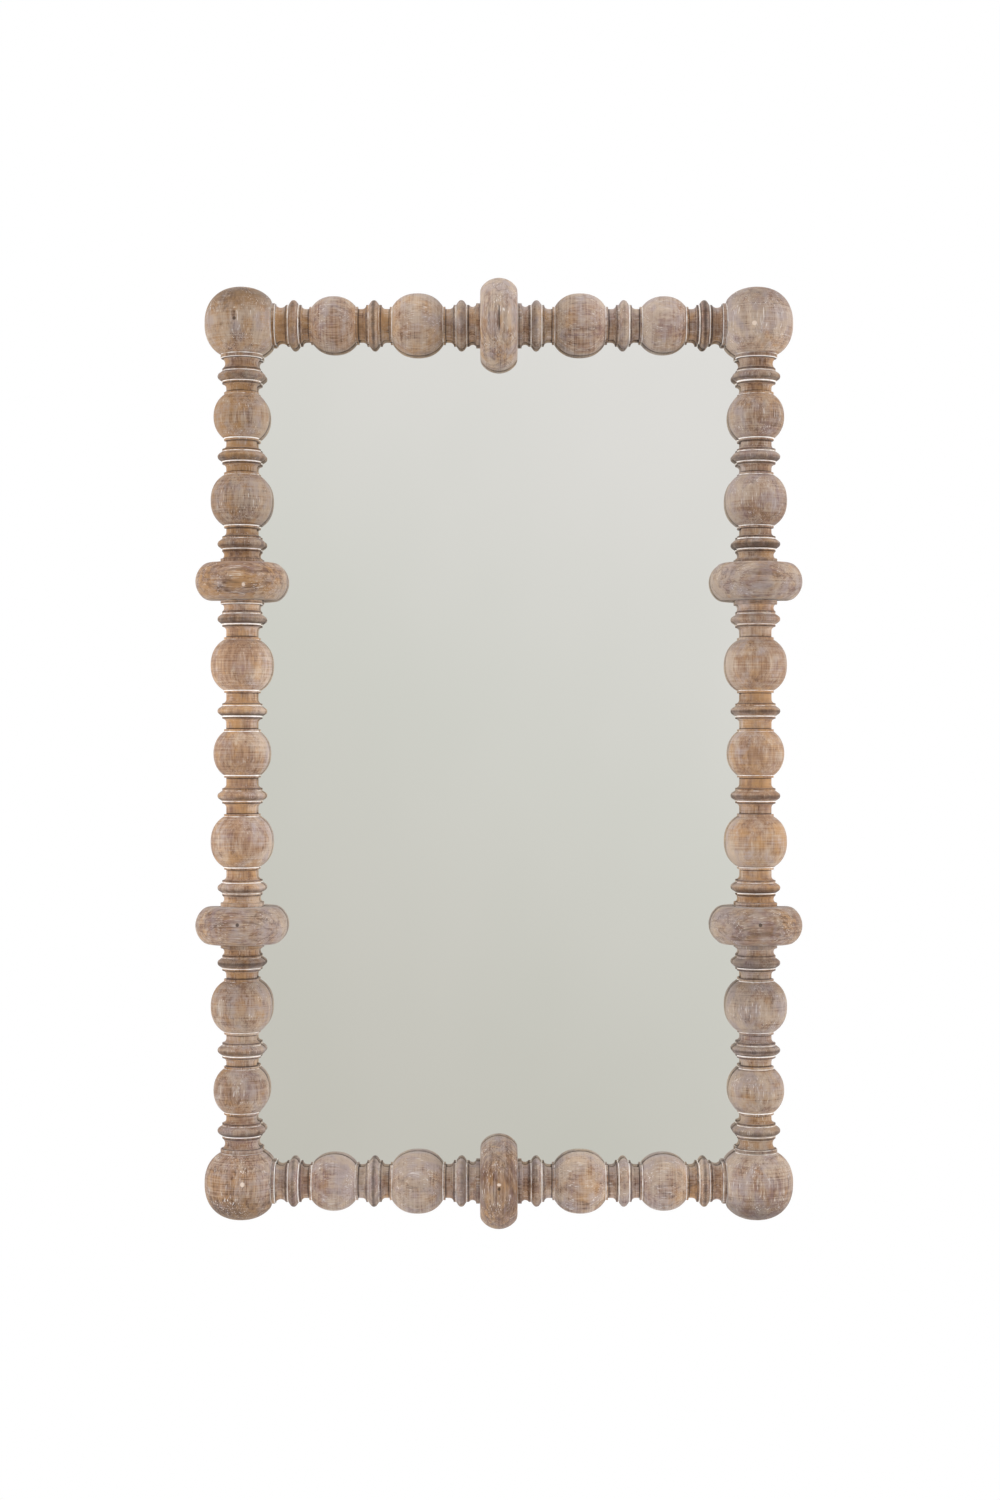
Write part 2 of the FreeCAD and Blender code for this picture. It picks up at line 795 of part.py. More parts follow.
def frame_screws(places):
    """Build the countersunk screws, each with a pointed plain shank."""
    head_radius = size.screw_head_dia / 2
    head_height = head_radius - screw_radius
    corners = [
        (ZERO, -size.screw_length, None),
        (screw_radius, size.screw_point_length - size.screw_length, None),
        (screw_radius, -head_height, None),
        (head_radius, ZERO, None),
        (ZERO, ZERO, None),
    ]
    screws = []
    every_place = places["top"] + places["bottom"] + places["left"] + places["right"]
    for index, (across, up) in enumerate(every_place, start=1):
        screw = new_body(f"frame_screw_{index}")
        revolve(screw, f"frame_screw_{index}_turned", "XY_Plane", corners, "V_Axis")
        place(screw, across, -size.screw_sink, up)
        screws.append(screw)
    group = doc.addObject("Part::Compound", "frame_screws")
    group.Links = screws
    return group


def hanger_strap(label, x):
    """Build a strap of folded sheet with the knuckle that the ring turns in."""
    body = new_body(label)
    rear = size.strap_thickness - knuckle_radius
    meet = other_leg(knuckle_radius, rear)
    bend = (knuckle_radius, OUTWARD)
    corners = [
        (-knuckle_radius, -size.strap_length, None),
        (-knuckle_radius, ZERO, bend),
        (ZERO, knuckle_radius, bend),
        (knuckle_radius, ZERO, bend),
        (rear, -meet, None),
        (rear, -size.strap_length, None),
    ]
    sketch = new_sketch(body, f"{label}_outline", "YZ_Plane")
    draw_outline(sketch, corners)
    draw_circles(sketch, [(ZERO, ZERO)], knuckle_bore)
    pad(body, f"{label}_sheet", sketch, size.strap_width, both_ways=True)
    holes = new_sketch(body, f"{label}_hole_outline", "XZ_Plane", knuckle_radius + size.cut_overrun)
    draw_circles(holes, [(ZERO, -drop) for drop in strap_holes], hanger_hole_dia / 2)
    pocket(body, f"{label}_holes", holes, (knuckle_radius + size.cut_overrun) * 2, reverse=False)
    doc.recompute()
    base = body.Tip
    low = Part.Precision.approximation() - size.strap_length.value
    names = []
    for index, edge in enumerate(base.Shape.Edges, start=1):
        if edge.BoundBox.ZMax < low and edge.BoundBox.YLength > edge.BoundBox.XLength:
            names.append(f"Edge{index}")
    rounding = body.newObject("PartDesign::Fillet", f"{label}_rounding")
    rounding.Base = (base, names)
    rounding.Radius = size.strap_corner_radius.value
    bind(rounding, "Radius", size.strap_corner_radius)
    body.Tip = rounding
    place(body, x, -pivot_depth, size.hanger_height)
    return body


def hanger_ring(label, x):
    """Build a D-shaped wire ring that hangs from its straight side."""
    body = new_body(label)
    bend = size.ring_bend_radius
    straight = ring_half_width - bend
    arc_level = ring_drop - ring_half_width
    turn = (bend, OUTWARD)
    path = [
        (-ring_half_width, -bend, turn),
        (-straight, ZERO, None),
        (straight, ZERO, turn),
        (ring_half_width, -bend, None),
        (ring_half_width, -arc_level, (ring_half_width, OUTWARD)),
        (ZERO, -ring_drop, (ring_half_width, OUTWARD)),
        (-ring_half_width, -arc_level, None),
    ]
    spine = new_sketch(body, f"{label}_path", "XZ_Plane")
    draw_outline(spine, path)
    section = new_sketch(body, f"{label}_section", "YZ_Plane")
    draw_circles(section, [(ZERO, ZERO)], size.ring_wire_dia / 2)
    wire = body.newObject("PartDesign::AdditivePipe", f"{label}_wire")
    wire.Profile = section
    wire.Spine = spine
    tilt = FreeCAD.Rotation(FreeCAD.Vector(1, 0, 0), size.ring_rest_tilt.value)
    place(body, x, -pivot_depth, size.hanger_height)
    body.Placement = FreeCAD.Placement(body.Placement.Base, tilt)
    bind(body, ".Placement.Rotation.Angle", size.ring_rest_tilt)
    return body


def hanger_screws():
    """Build the screws of both straps, each with a domed head."""
    head_radius = size.hanger_head_dia / 2
    head = size.hanger_head_height
    dome = (head_radius * head_radius + head * head) / (head * 2)
    shank = size.hanger_screw_dia / 2
    corners = [
        (ZERO, -size.hanger_screw_length, None),
        (shank, size.hanger_point_length - size.hanger_screw_length, None),
        (shank, ZERO, None),
        (head_radius, ZERO, (dome, INWARD)),
        (ZERO, head, None),
    ]
    screws = []
    seat = size.recess_depth - size.strap_thickness
    for side, line in (("left", -hanger_line), ("right", hanger_line)):
        for index, drop in enumerate(strap_holes, start=1):
            screw = new_body(f"hanger_screw_{side}_{index}")
            revolve(screw, f"hanger_screw_{side}_{index}_turned", "XY_Plane", corners, "V_Axis")
            place(screw, line, -seat, size.hanger_height - drop)
            screws.append(screw)
    group = doc.addObject("Part::Compound", "hanger_screws")
    group.Links = screws
    return group


def check_document():
    """Stop if any object of the document failed."""
    for thing in doc.Objects:
        if "Invalid" in thing.State or "Error" in thing.State:
            raise RuntimeError(f"{thing.Label} failed: {thing.State}")


def check_piece(piece):
    """Stop if a piece has no valid solid."""
    shape = piece.Shape
    if shape.isNull() or not shape.isValid() or not shape.Solids:
        raise RuntimeError(f"{piece.Label} has no valid solid")


def main():
    """Build every piece, check the document and write one file for each piece."""
    places = frame_screw_places()
    pieces = turned_frame()
    pieces += spacer_strips(places)
    pieces.append(mirror_glass())
    pieces.append(glass_tape())
    pieces.append(back_panel(places))
    pieces.append(frame_screws(places))
    for side, line in (("left", -hanger_line), ("right", hanger_line)):
        pieces.append(hanger_strap(f"hanger_strap_{side}", line))
        pieces.append(hanger_ring(f"hanger_ring_{side}", line))
    pieces.append(hanger_screws())
    doc.recompute()
    check_document()
    for piece in pieces:
        check_piece(piece)
    os.makedirs("parts", exist_ok=True)
    for piece in pieces:
        piece.Shape.exportStep(f"parts/{piece.Label}.step")
        volume = piece.Shape.Volume
        print(f"{piece.Label}: {len(piece.Shape.Solids)} solids, {volume:.0f} cubic millimetres")


main()
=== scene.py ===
"""Looks of the beaded mirror: limed turnings round a silvered glass, its back and its hangers."""

import logging
import math
from dataclasses import dataclass, field
from enum import Enum
from typing import NamedTuple

import bmesh
import bpy
import numpy as np
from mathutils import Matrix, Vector


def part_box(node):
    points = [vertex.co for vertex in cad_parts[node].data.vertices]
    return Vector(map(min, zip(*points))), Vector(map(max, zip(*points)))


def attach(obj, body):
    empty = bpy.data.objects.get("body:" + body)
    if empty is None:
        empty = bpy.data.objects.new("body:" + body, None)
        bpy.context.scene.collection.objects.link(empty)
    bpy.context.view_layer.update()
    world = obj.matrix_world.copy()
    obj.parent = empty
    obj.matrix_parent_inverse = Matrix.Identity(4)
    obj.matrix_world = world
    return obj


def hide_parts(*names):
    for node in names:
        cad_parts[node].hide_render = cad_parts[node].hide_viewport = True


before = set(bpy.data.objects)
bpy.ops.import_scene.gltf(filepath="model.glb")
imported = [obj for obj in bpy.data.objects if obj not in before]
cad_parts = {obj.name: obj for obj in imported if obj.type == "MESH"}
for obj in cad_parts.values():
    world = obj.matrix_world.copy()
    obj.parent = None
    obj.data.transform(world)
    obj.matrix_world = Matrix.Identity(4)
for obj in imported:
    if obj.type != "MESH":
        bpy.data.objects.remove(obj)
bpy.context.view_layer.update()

LOG = logging.getLogger("beaded_mirror")
MM = 0.001
SEED = 40
TOUCH = 0.01  # Millimetres within which a point lies on a flat.
FRAME_BODY = "mirror_frame"
MERGE_DISTANCE = 1e-6
SHARP_ANGLE = math.radians(40)

Colour = tuple[int, int, int]
Triple = tuple[float, float, float]
Spot = tuple[float, float]
Socket = bpy.types.NodeSocket
Value = Socket | float | tuple
MADE: dict["Finish", bpy.types.Material] = {}


def linear(colour: Colour) -> tuple[float, float, float, float]:
    """Turn a colour as a painter mixes it into the light that it returns.

    Args:
        colour: Red, green and blue from 0 to 255.

    Returns:
        Linear red, green and blue, and a full alpha.
    """
    knee, slope, offset, power = 0.04045, 12.92, 0.055, 2.4
    share = np.array(colour, float) / 255
    curve = ((share + offset) / (1 + offset)) ** power
    return (*np.where(share <= knee, share / slope, curve).tolist(), 1.0)


def plain(level: float) -> tuple[float, float, float, float]:
    """Give a grey of a linear level."""
    return (level, level, level, 1.0)


class Noise(NamedTuple):
    """A cloudy pattern: its scale along three axes, its finer layers, their strength, its swirl."""

    scale: Triple
    detail: float = 4
    roughness: float = 0.55
    twist: float = 0


class Ease(NamedTuple):
    """A smooth step from bottom to top, while a value goes from low to high."""

    low: float
    high: float
    bottom: float = 0
    top: float = 1


class Graph:
    """A node tree with one short call for each kind of node used here."""

    def __init__(self, tree: bpy.types.NodeTree) -> None:
        """Empty the tree."""
        self.tree = tree
        tree.nodes.clear()

    def node(self, kind: str, inputs: dict[str | int, Value], **settings: object) -> bpy.types.Node:
        """Add a node.

        Args:
            kind: What follows ShaderNode in Blender's name of the node type.
            inputs: What goes into its sockets: other sockets, or plain values.
            **settings: The node's own options.

        Returns:
            The new node.
        """
        made = self.tree.nodes.new(f"ShaderNode{kind}")
        for name, setting in settings.items():
            setattr(made, name, setting)
        for key, value in inputs.items():
            if isinstance(value, bpy.types.NodeSocket):
                self.tree.links.new(value, made.inputs[key])
            else:
                made.inputs[key].default_value = value
        return made

    def attribute(self, name: str, output: str = "Fac") -> Socket:
        """Read a value that the mesh carries at its points."""
        return self.node("Attribute", {}, attribute_name=name).outputs[output]

    def place(self) -> Socket:
        """Give the point's place in the object's frame, in metres."""
        return self.node("TexCoord", {}).outputs["Object"]

    def length(self, vector: Socket) -> Socket:
        """Measure a vector."""
        return self.node("VectorMath", {0: vector}, operation="LENGTH").outputs["Value"]

    def noise(self, vector: Socket, kind: Noise) -> Socket:
        """Read a cloudy pattern, about 0.5 on average, at a place."""
        scaled = self.node("VectorMath", {0: vector, 1: kind.scale}, operation="MULTIPLY")
        layers = {"Detail": kind.detail, "Roughness": kind.roughness, "Distortion": kind.twist}
        inputs = {"Vector": scaled.outputs[0], "Scale": 1, **layers}
        return self.node("TexNoise", inputs).outputs["Fac"]

    def math(self, operation: str, first: Value, second: Value = 0.0) -> Socket:
        """Work out one sum of two values."""
        return self.node("Math", {0: first, 1: second}, operation=operation).outputs[0]

    def blend_of(self, *parts: tuple[Value, float]) -> Socket:
        """Add values up, each times its own share."""
        total: Value = 0.0
        for value, share in parts:
            inputs = {0: value, 1: share, 2: total}
            total = self.node("Math", inputs, operation="MULTIPLY_ADD").outputs[0]
        return total

    def ease(self, value: Value, kind: Ease) -> Socket:
        """Take a value through a smooth step."""
        names = ("From Min", "From Max", "To Min", "To Max")
        inputs = {"Value": value, **dict(zip(names, kind))}
        return self.node("MapRange", inputs, interpolation_type="SMOOTHSTEP").outputs["Result"]

    def ramp(self, value: Value, *stops: tuple[float, Colour]) -> Socket:
        """Colour a value by stops from 0 to 1."""
        node = self.node("ValToRGB", {"Fac": value})
        elements = node.color_ramp.elements
        while len(elements) < len(stops):
            elements.new(1)
        for element, (place, colour) in zip(elements, stops):
            element.position = place
            element.color = linear(colour)
        return node.outputs["Color"]

    def mix(self, share: Value, first: Value, second: Value, way: str = "MIX") -> Socket:
        """Lay one colour over another.

        Args:
            share: How much of the second colour shows.
            first: The colour beneath.
            second: The colour on top.
            way: Blender's name of the way they mix.

        Returns:
            The mixed colour.
        """
        inputs = {"Factor": share, "A": first, "B": second}
        return self.node("Mix", inputs, data_type="RGBA", blend_type=way).outputs["Result"]

    def bump(self, height: Socket, depth: float, strength: float) -> Socket:
        """Roughen the surface by a height from 0 to 1 that stands for a depth in metres."""
        inputs = {"Height": height, "Distance": depth, "Strength": strength}
        return self.node("Bump", inputs).outputs["Normal"]


class Finish:
    """A finish that can be made into a material once and used on many pieces."""

    name = "finish"

    def paint(self, graph: Graph) -> dict[str, Value]:
        """Give what goes into the shader; each finish does this in its own way."""
        raise NotImplementedError

    def material(self) -> bpy.types.Material:
        """Make the material, or return the one that was made before."""
        if self not in MADE:
            made = MADE[self] = bpy.data.materials.new(self.name)
            made.use_nodes = True
            graph = Graph(made.node_tree)
            shader = graph.node("BsdfPrincipled", self.paint(graph))
            graph.node("OutputMaterial", {"Surface": shader.outputs["BSDF"]})
        return MADE[self]


@dataclass(frozen=True)
class LimedWood(Finish):
    """Turned hardwood brushed with white paste that stays in its quirks, pores and hollows.

    The grain is solid: it is read from the point's place in the plank, which the mesh carries,
    so it runs through a piece from face to face and shows end grain where the plank was cut. The
    turner's marks run round the axis: they are read from the place along the axis and round it.
    """

    name = "turned_limed_wood"
    heart: Colour = (86, 56, 42)
    brown: Colour = (146, 113, 88)
    pale: Colour = (188, 156, 129)
    ochre: Colour = (186, 144, 98)
    mauve: Colour = (140, 113, 110)
    haze: Colour = (200, 185, 170)
    cool_haze: Colour = (184, 174, 172)
    paste: Colour = (252, 248, 244)
    # Dark colour of painted shade in corners, beside quirks and on down-facing flanks, and of grime
    # and dark flaws.
    shade_and_grime: Colour = (58, 42, 35)
    putty: Colour = (226, 208, 192)

    # Drawn out along the plank.
    FIBRE = Noise((30, 520, 520), 6, 0.65)
    FIGURE = Noise((9, 95, 95), 4, 0.55, 0.6)
    STREAK = Noise((9, 230, 230), 3, 0.6, 0.3)
    BAND = Noise((8, 130, 130), 3, 0.6, 0.9)
    FLOW = Noise((3.5, 58, 58), 2, 0.4, 0.12)
    FILLED_PORES = Noise((70, 1000, 1000), 2, 0.5)
    OPEN_PORES = Noise((150, 620, 620), 2, 0.5)
    RINGS = {"Scale": 38, "Distortion": 5, "Detail": 3, "Detail Scale": 1.6}
    # Drawn out round the turning.
    MARKS = Noise((800, 26, 1), 4, 0.65)
    LINES = Noise((430, 15, 1), 3, 0.65)
    SWEEP = Noise((240, 42, 1), 3, 0.6)
    # Patches left by the brush and the cloth.
    STAIN = Noise((48, 48, 40), 4, 0.6, 0.4)
    CLOUD = Noise((75, 62, 48), 5, 0.65, 0.3)
    DRIFT = Noise((55, 70, 55), 3, 0.5, 0.3)
    PATCH = Noise((60, 60, 60), 2)
    SMUDGE = Noise((130, 130, 130), 4, 0.6)
    # How much of each coat shows.
    BODY_SHOWS = Ease(-0.21, 0.14)
    STREAK_SHOWS = Ease(0.58, 0.72)
    OCHRE_SHOWS = Ease(0.80, 0.97, 0, 0.68)
    MAUVE_SHOWS = Ease(0.78, 0.62, 0, 0.6)
    HAZE_SHOWS = Ease(0.92, 1.24, 0, 0.62)
    COOL_SHOWS = Ease(0.44, 0.60)
    LATE_SHOWS = Ease(0.036, 0.004)
    LATE_BREAKS = Ease(0.38, 0.62, 0.05, 0.6)
    PATCH_SHOWS = Ease(0.40, 0.62)
    FILLED_SHOWS = Ease(0.58, 0.70, 0, 0.55)
    OPEN_SHOWS = Ease(0.62, 0.74, 0, 0.5)
    SHADE_AND_GRIME_SHOWS = Ease(0.52, 1.05, 0, 0.82)
    PASTE_SHOWS = Ease(0.68, 0.92, 0, 0.95)
    FLAW_SHOWS = Ease(1.55, 1.15, 0, 0.8)
    ROUGHNESS = Ease(0, 0.6, 0.55, 0.78)
    BODY_LEVEL = 0.55
    BAND_LEVEL = 0.5
    LATE_PITCH = 0.085

    def paint(self, graph: Graph) -> dict[str, Value]:
        """Lay grain, stains, haze with painted side light, grime with painted shade, and paste over
        each other.
        """
        plank, lathe = (graph.attribute(name, "Vector") for name in ("plank", "lathe"))
        place = graph.place()
        fibre, marks = graph.noise(plank, self.FIBRE), graph.noise(lathe, self.MARKS)
        wood = self.grain(graph, plank, lathe, fibre, marks)

        stain, sweep = graph.noise(place, self.STAIN), graph.noise(lathe, self.SWEEP)
        stain = graph.blend_of((stain, 0.72), (sweep, 0.28))
        band = graph.math("SUBTRACT", graph.noise(plank, self.BAND), self.BAND_LEVEL)
        band = graph.math("MULTIPLY", band, graph.attribute("figure"))
        # The warmth attribute holds painted warm bounce light on the side away from the lit one.
        warmth = graph.attribute("warmth")
        stain = graph.blend_of((stain, 1.0), (warmth, 0.36), (fibre, 0.3), (band, 0.95))
        wood = graph.mix(graph.ease(stain, self.OCHRE_SHOWS), wood, linear(self.ochre))
        wood = graph.mix(graph.ease(stain, self.MAUVE_SHOWS), wood, linear(self.mauve))

        # The haze attribute holds painted light: more haze on the side towards the glass or
        # upwards.
        cloud, left = graph.noise(place, self.CLOUD), graph.attribute("haze")
        cloud = graph.blend_of((cloud, 0.8), (fibre, 0.45), (marks, 0.5), (left, 0.36))
        haze = graph.ease(cloud, self.HAZE_SHOWS)
        cool = graph.ease(graph.noise(place, self.DRIFT), self.COOL_SHOWS)
        wood = graph.mix(haze, wood, graph.mix(cool, linear(self.haze), linear(self.cool_haze)))
        wood = self.late_wood(graph, plank, fibre, wood)
        # The tone attribute holds painted fill light in the necks besides each piece's own tone.
        wood = graph.mix(1.0, wood, graph.attribute("tone", "Color"), "MULTIPLY")
        wood = self.flecks(graph, plank, place, wood)

        smudge = graph.noise(place, self.SMUDGE)
        # The grime coat is mostly painted shade: beside quirks, in corners, on down-facing flanks
        # and behind the axis.
        coats = (("shade_and_grime", self.SHADE_AND_GRIME_SHOWS, self.shade_and_grime), ("paste", self.PASTE_SHOWS, self.paste))
        for name, shows, colour in coats:
            coat = graph.blend_of((graph.attribute(name), 1.0), (smudge, 0.6))
            wood = graph.mix(graph.ease(coat, shows), wood, linear(colour))
        for name, colour in (("dark_flaw", self.shade_and_grime), ("light_flaw", self.putty)):
            flaw = graph.length(graph.attribute(name, "Vector"))
            flaw = graph.blend_of((flaw, 1.0), (smudge, 0.8))
            wood = graph.mix(graph.ease(flaw, self.FLAW_SHOWS), wood, linear(colour))

        relief = graph.blend_of((fibre, 0.5), (marks, 0.5))
        return {
            "Base Color": wood,
            "Roughness": graph.ease(haze, self.ROUGHNESS),
            "Normal": graph.bump(relief, depth=0.0007, strength=0.4),
            "Specular IOR Level": 0.3,
            "Sheen Weight": 0.16,
            "Sheen Roughness": 0.45,
        }

    def grain(
        self, graph: Graph, plank: Socket, lathe: Socket, fibre: Socket, marks: Socket
    ) -> Socket:
        """Colour the bare wood: fibres, figure, growth rings, tool marks and dark heart streaks.

        Args:
            graph: The material's nodes.
            plank: Place in the plank.
            lathe: Place along and round the turning.
            fibre: The fibres' noise.
            marks: The tool marks' noise.

        Returns:
            The colour.
        """
        waves = {"wave_type": "RINGS", "rings_direction": "X"}
        rings = graph.node("TexWave", {"Vector": plank, **self.RINGS}, **waves).outputs["Fac"]
        figure, lines = graph.noise(plank, self.FIGURE), graph.noise(lathe, self.LINES)
        body = ((fibre, 0.29), (figure, 0.23), (rings, 0.04), (marks, 0.24), (lines, 0.2))
        body = graph.math("SUBTRACT", graph.blend_of(*body), self.BODY_LEVEL)
        depth = graph.blend_of((graph.attribute("open_grain"), 0.6), (1.0, 0.55))
        body = graph.ease(graph.math("MULTIPLY", body, depth), self.BODY_SHOWS)
        wood = graph.ramp(body, (0.0, self.heart), (0.34, self.brown), (1.0, self.pale))
        share = graph.blend_of((graph.attribute("figure"), 0.45), (1.0, 0.28))
        streak = graph.ease(graph.noise(plank, self.STREAK), self.STREAK_SHOWS)
        return graph.mix(graph.math("MULTIPLY", streak, share), wood, linear(self.heart))

    def late_wood(self, graph: Graph, plank: Socket, fibre: Socket, wood: Socket) -> Socket:
        """Draw the late wood's long dark lines: contours of a noise drawn out along the plank.

        Args:
            graph: The material's nodes.
            plank: Place in the plank.
            fibre: The fibres' noise, which breaks the lines up.
            wood: The colour beneath.

        Returns:
            The colour with the lines on it.
        """
        line = graph.math("PINGPONG", graph.noise(plank, self.FLOW), self.LATE_PITCH)
        line = graph.ease(line, self.LATE_SHOWS)
        line = graph.math("MULTIPLY", line, graph.ease(fibre, self.LATE_BREAKS))
        line = graph.math("MULTIPLY", line, graph.attribute("figure"))
        return graph.mix(line, wood, linear(self.heart))

    def flecks(self, graph: Graph, plank: Socket, place: Socket, wood: Socket) -> Socket:
        """Fill some pores with paste and leave others dark.

        Args:
            graph: The material's nodes.
            plank: Place in the plank.
            place: Place in the object.
            wood: The colour beneath.

        Returns:
            The colour with the pores on it.
        """
        share = graph.attribute("open_grain")
        patch = graph.ease(graph.noise(place, self.PATCH), self.PATCH_SHOWS)
        filled = graph.ease(graph.noise(plank, self.FILLED_PORES), self.FILLED_SHOWS)
        filled = graph.math("MULTIPLY", graph.math("MULTIPLY", filled, patch), share)
        dark = graph.ease(graph.noise(plank, self.OPEN_PORES), self.OPEN_SHOWS)
        wood = graph.mix(graph.math("MULTIPLY", dark, share), wood, linear(self.heart))
        return graph.mix(filled, wood, linear(self.paste))


@dataclass(frozen=True)
class SilveredGlass(Finish):
    """A plain mirror: silver behind glass, faintly green, with the least unevenness of polish."""

    name = "silvered_glass"
    silver: Colour = (247, 248, 244)
    shade: Colour = (243, 245, 240)
    BREATH = Noise((3, 3, 2), 3)
    POLISH = Ease(0.3, 0.7, 0.012, 0.03)

    def paint(self, graph: Graph) -> dict[str, Value]:
        """Set the silver and its polish."""
        breath = graph.noise(graph.place(), self.BREATH)
        colour = graph.ramp(breath, (0.35, self.shade), (0.65, self.silver))
        return {"Base Color": colour, "Roughness": graph.ease(breath, self.POLISH), "Metallic": 1}


@dataclass(frozen=True)
class RawPine(Finish):
    """Planed softwood, with growth lines along the strip."""

    name = "raw_pine"
    early: Colour = (214, 187, 150)
    late: Colour = (174, 134, 92)
    run: Triple = (5, 130, 130)
    FINER = 7
    ROUGHNESS = Ease(0.3, 0.7, 0.55, 0.72)

    def paint(self, graph: Graph) -> dict[str, Value]:
        """Draw growth lines out along the strip."""
        place = graph.place()
        lines = graph.noise(place, Noise(self.run, 5, 0.6, 0.6))
        fuzz = graph.noise(place, Noise(tuple(self.FINER * scale for scale in self.run), 2))
        tone = graph.blend_of((lines, 0.8), (fuzz, 0.2))
        return {
            "Base Color": graph.ramp(tone, (0.36, self.late), (0.52, self.early)),
            "Roughness": graph.ease(lines, self.ROUGHNESS),
            "Normal": graph.bump(tone, depth=0.0004, strength=0.3),
        }


@dataclass(frozen=True)
class UprightPine(RawPine):
    """The same softwood, with its growth lines upright."""

    name = "upright_pine"
    run: Triple = (130, 130, 5)


@dataclass(frozen=True)
class FibreBoard(Finish):
    """Pressed wood fibre, brown, with flecks and chips of bark, and darker towards its edges."""

    name = "fibre_board"
    dark: Colour = (116, 87, 62)
    plain: Colour = (158, 125, 94)
    light: Colour = (196, 165, 132)
    bark: Colour = (80, 56, 40)
    half: Spot = (0.3, 0.5)
    CLOUD = Noise((16, 16, 16), 5, 0.6)
    FLECK = Noise((380, 380, 380), 3, 0.7)
    FIBRE = Noise((620, 300, 110), 4, 0.65, 1.2)
    CHIPS = Noise((150, 150, 210), 2, 0.5, 2.0)
    BARK_SHOWS = Ease(0.64, 0.72, 0, 0.6)
    LIGHT_SHOWS = Ease(0.34, 0.26, 0, 0.5)
    EDGE_SHOWS = Ease(0.022, 0.010, 0, 0.45)
    ROUGHNESS = Ease(0.3, 0.7, 0.68, 0.85)

    def paint(self, graph: Graph) -> dict[str, Value]:
        """Scatter flecks, fibres and chips over a cloudy ground and darken it towards the edges."""
        place = graph.place()
        kinds = (self.CLOUD, self.FLECK, self.FIBRE, self.CHIPS)
        cloud, fleck, fibre, chips = (graph.noise(place, kind) for kind in kinds)
        ground = graph.blend_of((cloud, 0.22), (fleck, 0.42), (fibre, 0.36))
        colour = graph.ramp(ground, (0.38, self.dark), (0.50, self.plain), (0.62, self.light))
        colour = graph.mix(graph.ease(chips, self.BARK_SHOWS), colour, linear(self.bark))
        colour = graph.mix(graph.ease(chips, self.LIGHT_SHOWS), colour, linear(self.light))
        way = graph.node("SeparateXYZ", {0: place}).outputs
        aside = (graph.math("ABSOLUTE", way[axis]) for axis in ("X", "Z"))
        gaps = [graph.math("SUBTRACT", half, along) for half, along in zip(self.half, aside)]
        edge = graph.blend_of((graph.math("MINIMUM", *gaps), 1.0), (cloud, 0.02))
        relief = graph.blend_of((fleck, 0.5), (fibre, 0.5))
        return {
            "Base Color": graph.mix(graph.ease(edge, self.EDGE_SHOWS), colour, linear(self.dark)),
            "Roughness": graph.ease(fleck, self.ROUGHNESS),
            "Normal": graph.bump(relief, depth=0.0004, strength=0.4),
        }


@dataclass(frozen=True)
class Foam(Finish):
    """Closed-cell foam tape, off-white."""

    name = "foam_tape"
    cell: Colour = (206, 205, 198)
    skin: Colour = (232, 231, 226)

    def paint(self, graph: Graph) -> dict[str, Value]:
        """Show the foam's small cells."""
        cells = graph.node("TexVoronoi", {"Vector": graph.place(), "Scale": 1400})
        depth = cells.outputs["Distance"]
        return {
            "Base Color": graph.ramp(depth, (0.1, self.cell), (0.6, self.skin)),
            "Roughness": 0.85,
            "Normal": graph.bump(depth, depth=0.0003, strength=0.4),
        }


@dataclass(frozen=True)
class PlatedSteel(Finish):
    """Zinc-plated steel with a cloudy plating and fine rub marks."""

    name = "plated_steel"
    dull: Colour = (150, 152, 154)
    bright: Colour = (206, 207, 206)
    CLOUD = Noise((150, 150, 150))
    RUB = Noise((260, 2600, 2600), 3, 0.6)
    ROUGHNESS = Ease(0.3, 0.7, 0.26, 0.46)

    def paint(self, graph: Graph) -> dict[str, Value]:
        """Cloud the plating and rub it."""
        place = graph.place()
        cloud, rub = graph.noise(place, self.CLOUD), graph.noise(place, self.RUB)
        return {
            "Base Color": graph.ramp(cloud, (0.32, self.dull), (0.68, self.bright)),
            "Roughness": graph.ease(graph.blend_of((cloud, 0.5), (rub, 0.5)), self.ROUGHNESS),
            "Normal": graph.bump(rub, depth=0.00006, strength=0.3),
            "Metallic": 1,
        }


@dataclass(frozen=True)
class YellowScrew(PlatedSteel):
    """Yellow-passivated screw steel."""

    name = "yellow_screw"
    dull: Colour = (150, 120, 66)
    bright: Colour = (208, 180, 112)


class Heading(Enum):
    """The way a turned length runs from the ball or disc where it starts, seen from the front."""

    RIGHT = 0
    DOWN = 1
    LEFT = 2
    UP = 3

    def turn(self, points: np.ndarray) -> np.ndarray:
        """Turn points by quarter turns about the depth axis, so that their X runs this way."""
        cosine = round(math.cos(self.value * math.pi / 2))
        sine = round(math.sin(self.value * math.pi / 2))
        x, y, z = np.moveaxis(points, -1, 0)
        return np.stack((cosine * x + sine * z, y, cosine * z - sine * x), axis=-1)

    @property
    def rise(self) -> int:
        """Say whether the length goes up, 1, goes down, -1, or lies level, 0."""
        return {Heading.UP: 1, Heading.DOWN: -1}.get(self, 0)


class Length(Enum):
    """The two kinds of turned length, each with the number of points along its outline."""

    CORNER_TO_DISC = 280
    DISC_TO_DISC = 400


@dataclass(frozen=True)
class Coat:
    """How one piece took the paste: its haze, its warmth, how bright and open-grained it is."""

    haze: float
    warmth: float
    tone: float
    open_grain: float


